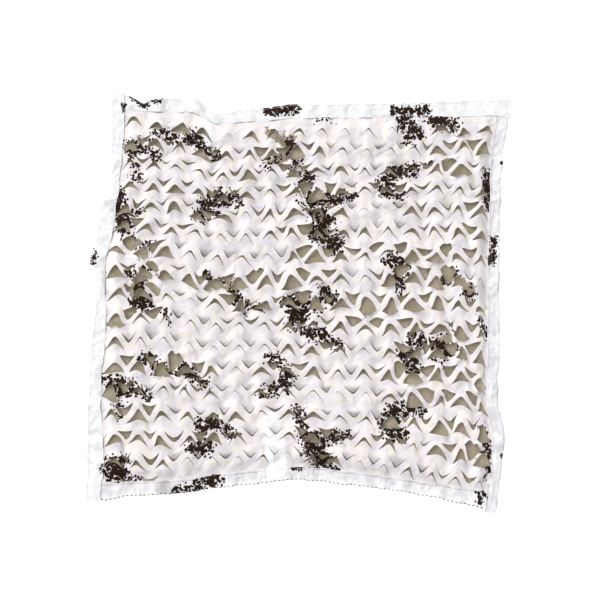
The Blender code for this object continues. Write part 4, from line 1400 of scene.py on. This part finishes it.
def strip_mesh(name, x, y, z, along, share, turn, material):
    """A strip's mesh from its grid of points, with places on its flat cloth and its marks."""
    rows, columns = x.shape
    points = np.stack([x, y, z], axis=-1).reshape(-1, 3)
    ids = np.arange(rows * columns).reshape(rows, columns)
    faces = np.stack([ids[:-1, :-1], ids[1:, :-1], ids[1:, 1:], ids[:-1, 1:]], axis=-1)
    mesh = bpy.data.meshes.new(name)
    mesh.from_pydata(points.tolist(), [], faces.reshape(-1, 4).tolist())
    flat_along = (along + 0 * share).ravel()
    run = np.where(turn < 0, share - 1, 1 - share) * STRIP_WIDTH
    run = run + turn / QUARTER_TURN * FOLD_HALF
    flat_down = (run + 0 * along).ravel()
    set_places(mesh, "flat", flat_along, flat_down)
    none = np.zeros(len(points))
    set_places(mesh, "dots_slope", none, none)
    set_map(mesh, flat_along, flat_down)
    x, y = x.ravel(), y.ravel()
    worn_x, worn_y, worn_reach = WORN_PATCH
    worn = smooth_step((1 - np.hypot(x - worn_x, y - worn_y) / worn_reach) * WORN_EDGE)
    dots = mark_strength(x, y)
    # On the strips this attribute holds only the worn place, not painted shade.
    set_attributes(mesh, dots=dots, taupe=none, sheer=worn, lip=none, bright=bright_share(x, y))
    piece = add_piece(name, mesh, material)
    shape = bmesh.new()
    shape.from_mesh(mesh)
    bmesh.ops.recalc_face_normals(shape, faces=shape.faces)
    shape.to_mesh(mesh)
    shape.free()
    thicken(piece, TAPE_THICKNESS)
    return piece


def mark_strength(x, y):
    """How densely the brown dots lie on the strips."""
    dots = np.zeros(x.shape)
    for *ends, half_width, brown in STRIP_MARKS:
        reach = stroke_distance(x, y, *ends) / half_width
        dots = np.maximum(dots, brown * fade(reach))
    return dots


def make_strips(pale, shaded, low):
    """The four folded strips, in the order top, right, bottom and left."""
    rows = (
        ("top_edge_strip", TOP, True, TOP_CREASES, pale, "top_binding"),
        ("right_edge_strip", RIGHT, False, RIGHT_CREASES, shaded, "right_binding"),
        ("bottom_edge_strip", BOTTOM, True, BOTTOM_CREASES, low, "bottom_binding"),
        ("left_edge_strip", LEFT, False, LEFT_CREASES, pale, "left_binding"),
    )
    pieces = []
    for name, strip, runs_across, creases, colour, node in rows:
        piece = make_strip(name, strip, runs_across, creases, colour)
        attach(piece, "root")
        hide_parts(node)
        pieces.append(piece)
    return pieces


# ---------------------------------------------------------------- materials


class Nodes:
    """Short calls for laying out one material's nodes."""

    def __init__(self, name, roughness, sheen):
        self.material = bpy.data.materials.new(name)
        self.material.use_nodes = True
        self.tree = self.material.node_tree
        self.shader = self.tree.nodes["Principled BSDF"]
        self.shader.inputs["Roughness"].default_value = roughness
        self.shader.inputs["Sheen Weight"].default_value = sheen
        self.shader.inputs["Sheen Roughness"].default_value = SHEEN_ROUGHNESS
        self.shader.inputs["Specular IOR Level"].default_value = SPECULAR

    def add(self, kind, inputs=None, **settings):
        """A node with its settings and with values or other nodes' sockets in its inputs."""
        node = self.tree.nodes.new(kind)
        for key, value in settings.items():
            setattr(node, key, value)
        for key, value in (inputs or {}).items():
            if isinstance(value, bpy.types.NodeSocket):
                self.tree.links.new(value, node.inputs[key])
            else:
                node.inputs[key].default_value = value
        return node

    def math(self, operation, first, second=0.0, third=0.0, clamp=False):
        inputs = {0: first, 1: second, 2: third}
        node = self.add("ShaderNodeMath", inputs, operation=operation, use_clamp=clamp)
        return node.outputs[0]

    def attribute(self, name, output="Fac"):
        return self.add("ShaderNodeAttribute", attribute_name=name).outputs[output]

    def ramp(self, value, low, high):
        """0 below low and 1 above high, straight between."""
        inputs = {"Value": value, "From Min": low, "From Max": high}
        return self.add("ShaderNodeMapRange", inputs, clamp=True).outputs["Result"]

    def mix(self, share, first, second):
        """A colour between two. A mix node's colours are its inputs 6 and 7 and its output 2."""
        inputs = {0: share, 6: first, 7: second}
        return self.add("ShaderNodeMix", inputs, data_type="RGBA").outputs[2]

    def noise(self, place, scale, detail=2.0, roughness=0.5):
        inputs = {"Vector": place, "Scale": scale, "Detail": detail, "Roughness": roughness}
        return self.add("ShaderNodeTexNoise", inputs).outputs["Fac"]

    def patches(self, place, noise, edges, first, second, share=None):
        """The first colour with the second one where a noise is past its edges."""
        amount = self.ramp(self.noise(place, *noise), *edges)
        if share is not None:
            amount = self.math("MULTIPLY", amount, share)
        return self.mix(amount, first, second)

    def bump(self, height, strength, distance, below=None):
        inputs = {"Height": height, "Strength": strength, "Distance": distance}
        if below is not None:
            inputs["Normal"] = below
        return self.add("ShaderNodeBump", inputs).outputs["Normal"]

    def link(self, socket, name):
        self.tree.links.new(socket, self.shader.inputs[name])


def weave_height(nodes, flat):
    """A plain weave: threads over and under each other, one thread every THREAD metres."""
    parts = nodes.add("ShaderNodeSeparateXYZ", {"Vector": flat})
    turn = math.pi / THREAD
    warp = nodes.math("SINE", nodes.math("MULTIPLY", parts.outputs[0], turn))
    weft = nodes.math("SINE", nodes.math("MULTIPLY", parts.outputs[1], turn))
    return nodes.math("MULTIPLY", warp, weft)


def crumple_height(nodes, flat, scale):
    """Flat facets that meet in crisp creases, as in thin cloth that has been crushed."""
    bent = nodes.add("ShaderNodeTexNoise", {"Vector": flat, "Scale": scale / 2, "Detail": 2.0})
    inputs = {0: bent.outputs["Color"], 1: (FACET_BEND / scale,) * 3, 2: flat}
    place = nodes.add("ShaderNodeVectorMath", inputs, operation="MULTIPLY_ADD").outputs[0]
    cells = nodes.add("ShaderNodeTexVoronoi", {"Vector": place, "Scale": scale})
    return cells.outputs["Distance"]


def dot_mask(nodes, flat):
    """Scattered round dots where the print is thin, which join up where it is dense."""
    inputs = {"Vector": flat, "Scale": 1 / DOT_PITCH, "Randomness": DOT_SCATTER}
    cells = nodes.add("ShaderNodeTexVoronoi", inputs)
    inputs = {0: cells.outputs["Position"], 1: flat}
    to_middle = nodes.add("ShaderNodeVectorMath", inputs, operation="SUBTRACT").outputs[0]
    inputs = {0: to_middle, 1: nodes.attribute("dots_slope", "Vector")}
    change = nodes.add("ShaderNodeVectorMath", inputs, operation="DOT_PRODUCT").outputs["Value"]
    strength = nodes.math("ADD", nodes.attribute("dots"), change, clamp=True)
    thinning = nodes.noise(cells.outputs["Position"], *DOT_THINNING)
    gain = nodes.math("MULTIPLY_ADD", thinning, *DOT_GAIN)
    strength = nodes.math("MULTIPLY", strength, gain)
    chance = nodes.add("ShaderNodeSeparateColor", {"Color": cells.outputs["Color"]}).outputs[0]
    margin = nodes.math("SUBTRACT", strength, chance)
    joined = nodes.math("MULTIPLY_ADD", margin, *DOT_JOIN)
    radius = nodes.math("MINIMUM", nodes.math("MULTIPLY", margin, DOT_SWELL), joined)
    return nodes.ramp(nodes.math("SUBTRACT", radius, cells.outputs["Distance"]), *DOT_EDGES)


def cloth_colour(nodes, flat, tints):
    """Two near whites in soft clouds, painted wrinkle shade, painted shade where leaves dip,
    painted highlights on folds, a painted lip shadow, and the print.
    """
    colour = nodes.patches(flat, CLOUDS, CLOUD_EDGES, *tints)
    # Painted shade of small wrinkles, scattered at random.
    colour = nodes.patches(flat, WRINKLE_SHADE_NOISE, WRINKLE_SHADE_EDGES, colour, WRINKLE_SHADE_TINT, WRINKLE_SHADE_SHARE)
    # Painted shade on dipping leaves, and the worn place on the strips.
    colour = nodes.mix(nodes.attribute("sheer"), colour, DIP_SHADE_AND_WEAR_TINT)
    # Painted highlights on the folds that catch the light.
    colour = nodes.mix(nodes.attribute("bright"), colour, BRIGHT)
    # A painted shadow line along the lips of shut v leaves.
    colour = nodes.mix(nodes.ramp(nodes.attribute("lip"), *LIP_SHADOW_EDGES), colour, LIP_SHADOW_TINT)
    taupe = nodes.attribute("taupe")
    worn = nodes.math("MULTIPLY_ADD", nodes.noise(flat, *TAUPE_WEAR), *TAUPE_GAIN)
    taupe = nodes.ramp(nodes.math("ADD", taupe, worn), *TAUPE_EDGES)
    colour = nodes.mix(taupe, colour, TAUPE)
    dots = dot_mask(nodes, flat)
    brown = nodes.mix(nodes.noise(flat, *BROWN_SHADES), BROWN, LIGHT_BROWN)
    return nodes.mix(dots, colour, brown)


def crumpled(nodes, flat, scale, strength, noise, crease_strength, crease_depth):
    """The relief of crushed cloth: flat facets, then creases, then the weave."""
    facets = nodes.bump(crumple_height(nodes, flat, scale), strength, FACET_DEPTH)
    creases = nodes.bump(nodes.noise(flat, *noise), crease_strength, crease_depth, facets)
    return nodes.bump(weave_height(nodes, flat), WEAVE_STRENGTH, WEAVE_DEPTH, creases)


def make_cloth_material(name, tints):
    """The net's printed cloth."""
    nodes = Nodes(name, CLOTH_ROUGHNESS, SHEEN)
    flat = nodes.attribute("flat", "Vector")
    nodes.link(cloth_colour(nodes, flat, tints), "Base Color")
    nodes.link(crumpled(nodes, flat, *CLOTH_CRUMPLES), "Normal")
    return nodes.material


def stitch_mask(nodes, along, down, lines):
    """1 on the stitches of every line, which are fine dashes, and 0 between them."""
    stitches = 0.0
    for place, step, half_width, half_length in lines:
        beat = nodes.math("FRACT", nodes.math("DIVIDE", along, step))
        from_middle = nodes.math("ABSOLUTE", nodes.math("SUBTRACT", beat, 0.5))
        sewn = nodes.ramp(from_middle, half_length + STITCH_FADE, half_length - STITCH_FADE)
        off = nodes.math("ABSOLUTE", nodes.math("SUBTRACT", down, place))
        line = nodes.ramp(off, half_width * (1 + STITCH_BLUR), half_width * (1 - STITCH_BLUR))
        stitches = nodes.math("MAXIMUM", stitches, nodes.math("MULTIPLY", line, sewn))
    return stitches


def make_strip_material(name, tints, stitch_colour, fold_stitch):
    """The strip's cloth with a line of stitches along its seam and one along its fold."""
    nodes = Nodes(name, STRIP_ROUGHNESS, SHEEN)
    flat = nodes.attribute("flat", "Vector")
    parts = nodes.add("ShaderNodeSeparateXYZ", {"Vector": flat})
    along, down = parts.outputs[0], parts.outputs[1]
    inward = nodes.ramp(down, *(STRIP_WIDTH * share for share in RIM_SHARES))
    colour = cloth_colour(nodes, flat, [nodes.mix(inward, STRIP_RIM, tint) for tint in tints])
    stitches = stitch_mask(nodes, along, down, (SEAM_STITCH, fold_stitch))
    nodes.link(nodes.mix(stitches, colour, stitch_colour), "Base Color")
    cloth = crumpled(nodes, flat, *STRIP_CRUMPLES)
    nodes.link(nodes.bump(stitches, STITCH_STRENGTH, STITCH_DEPTH, cloth), "Normal")
    return nodes.material


# ---------------------------------------------------------------- stage, light and camera


def flat_mesh(name, corners):
    """One flat face."""
    mesh = bpy.data.meshes.new(name)
    mesh.from_pydata(corners, [], [tuple(range(len(corners)))])
    return mesh


def make_floor():
    """A plain white floor."""
    white = Nodes("White floor", STAGE_ROUGHNESS, 0.0)
    white.shader.inputs["Base Color"].default_value = FLOOR_COLOUR
    white.shader.inputs["Emission Color"].default_value = FLOOR_LIGHT
    white.shader.inputs["Emission Strength"].default_value = FLOOR_GLOW
    half = FLOOR_SIZE / 2
    signs = ((-1, -1), (1, -1), (1, 1), (-1, 1))
    mesh = flat_mesh("floor", [(x * half, y * half, FLOOR_LEVEL) for x, y in signs])
    add_piece("floor", mesh, white.material)


def make_ground():
    """The stone-coloured ground that shows through the net."""
    ground = Nodes("Stone ground", STAGE_ROUGHNESS, 0.0)
    place = ground.add("ShaderNodeTexCoord").outputs["Object"]
    colour = ground.patches(place, SPECKLES, SPECKLE_EDGES, GROUND_DARK, GROUND_PALE)
    colour = ground.patches(place, PATCHES, PATCH_EDGES, colour, GROUND_GREEN, PATCH_SHARE)
    stretched = ground.add("ShaderNodeMapping", {"Vector": place, "Scale": STREAK_SCALE})
    place = stretched.outputs[0]
    colour = ground.patches(place, STREAKS, STREAK_EDGES, colour, GROUND_PINK, STREAK_SHARE)
    ground.link(colour, "Base Color")
    # The ground glows in its own colours: painted light that softens the shadows in the gaps.
    ground.link(colour, "Emission Color")
    ground.shader.inputs["Emission Strength"].default_value = GROUND_GLOW
    mesh = flat_mesh("ground", ground_outline())
    add_piece("ground", mesh, ground.material)


def ground_outline():
    """A loop that runs a little way in under the four strips, anticlockwise."""
    loop = []
    for strip, level, start, end in (
        (BOTTOM, True, BOTTOM_LEFT[0], BOTTOM_RIGHT[0]),
        (RIGHT, False, BOTTOM_RIGHT[1], TOP_RIGHT[1]),
        (TOP, True, TOP_RIGHT[0], TOP_LEFT[0]),
        (LEFT, False, TOP_LEFT[1], BOTTOM_LEFT[1]),
    ):
        for place in np.linspace(start, end, OUTLINE_POINTS):
            across = float(strip.at(INNER, place))
            across += math.copysign(GROUND_REACH, across)
            spot = (place, across) if level else (across, place)
            loop.append((*spot, GROUND_LEVEL))
    return loop


def aim(thing, target):
    """Turns a light so that it points at a place."""
    direction = Vector(target) - thing.location
    thing.rotation_euler = direction.to_track_quat("-Z", "Y").to_euler()


def make_key():
    """One broad soft light that falls evenly over the whole net from the left."""
    data = bpy.data.lights.new("Key", "SUN")
    data.energy = KEY_POWER
    data.angle = math.radians(KEY_SPREAD)
    light = bpy.data.objects.new("Key", data)
    light.location = KEY_PLACE
    bpy.context.scene.collection.objects.link(light)
    aim(light, (0, 0, 0))


def make_world():
    """An even, nearly white light from all round."""
    world = bpy.data.worlds.new("Soft studio")
    world.use_nodes = True
    backdrop = world.node_tree.nodes["Background"]
    backdrop.inputs["Color"].default_value = WORLD_COLOUR
    backdrop.inputs["Strength"].default_value = WORLD_STRENGTH
    bpy.context.scene.world = world


def make_camera():
    """Straight above the net, looking down."""
    data = bpy.data.cameras.new("camera")
    data.sensor_fit = "HORIZONTAL"
    data.angle = 2 * math.atan(VIEW_WIDTH / 2 / CAMERA_HEIGHT)
    camera = bpy.data.objects.new("camera", data)
    camera.location = (VIEW_CENTRE[0], VIEW_CENTRE[1], CAMERA_HEIGHT)
    camera.rotation_euler = (0, 0, 0)
    bpy.context.scene.collection.objects.link(camera)
    bpy.context.scene.camera = camera


def main():
    cloth = make_cloth_material("Printed cloth", CLOTH_TINTS)
    pale = make_strip_material("Edge cloth", STRIP_TINTS, PALE_STITCH, FINE_STITCH)
    # The right and bottom strips get the greyer copy: painted shade on the sides away from the
    # light.
    shaded = make_strip_material("Edge cloth, cool", SHADED_STRIP_TINTS, DARK_STITCH, FINE_STITCH)
    low = make_strip_material("Edge cloth, dark thread", SHADED_STRIP_TINTS, BLACK_STITCH, EDGE_STITCH)
    net = make_net(cloth)
    strips = make_strips(pale, shaded, low)
    make_floor()
    make_ground()
    make_key()
    make_world()
    make_camera()
    bpy.context.scene.view_settings.view_transform = "Standard"


main()
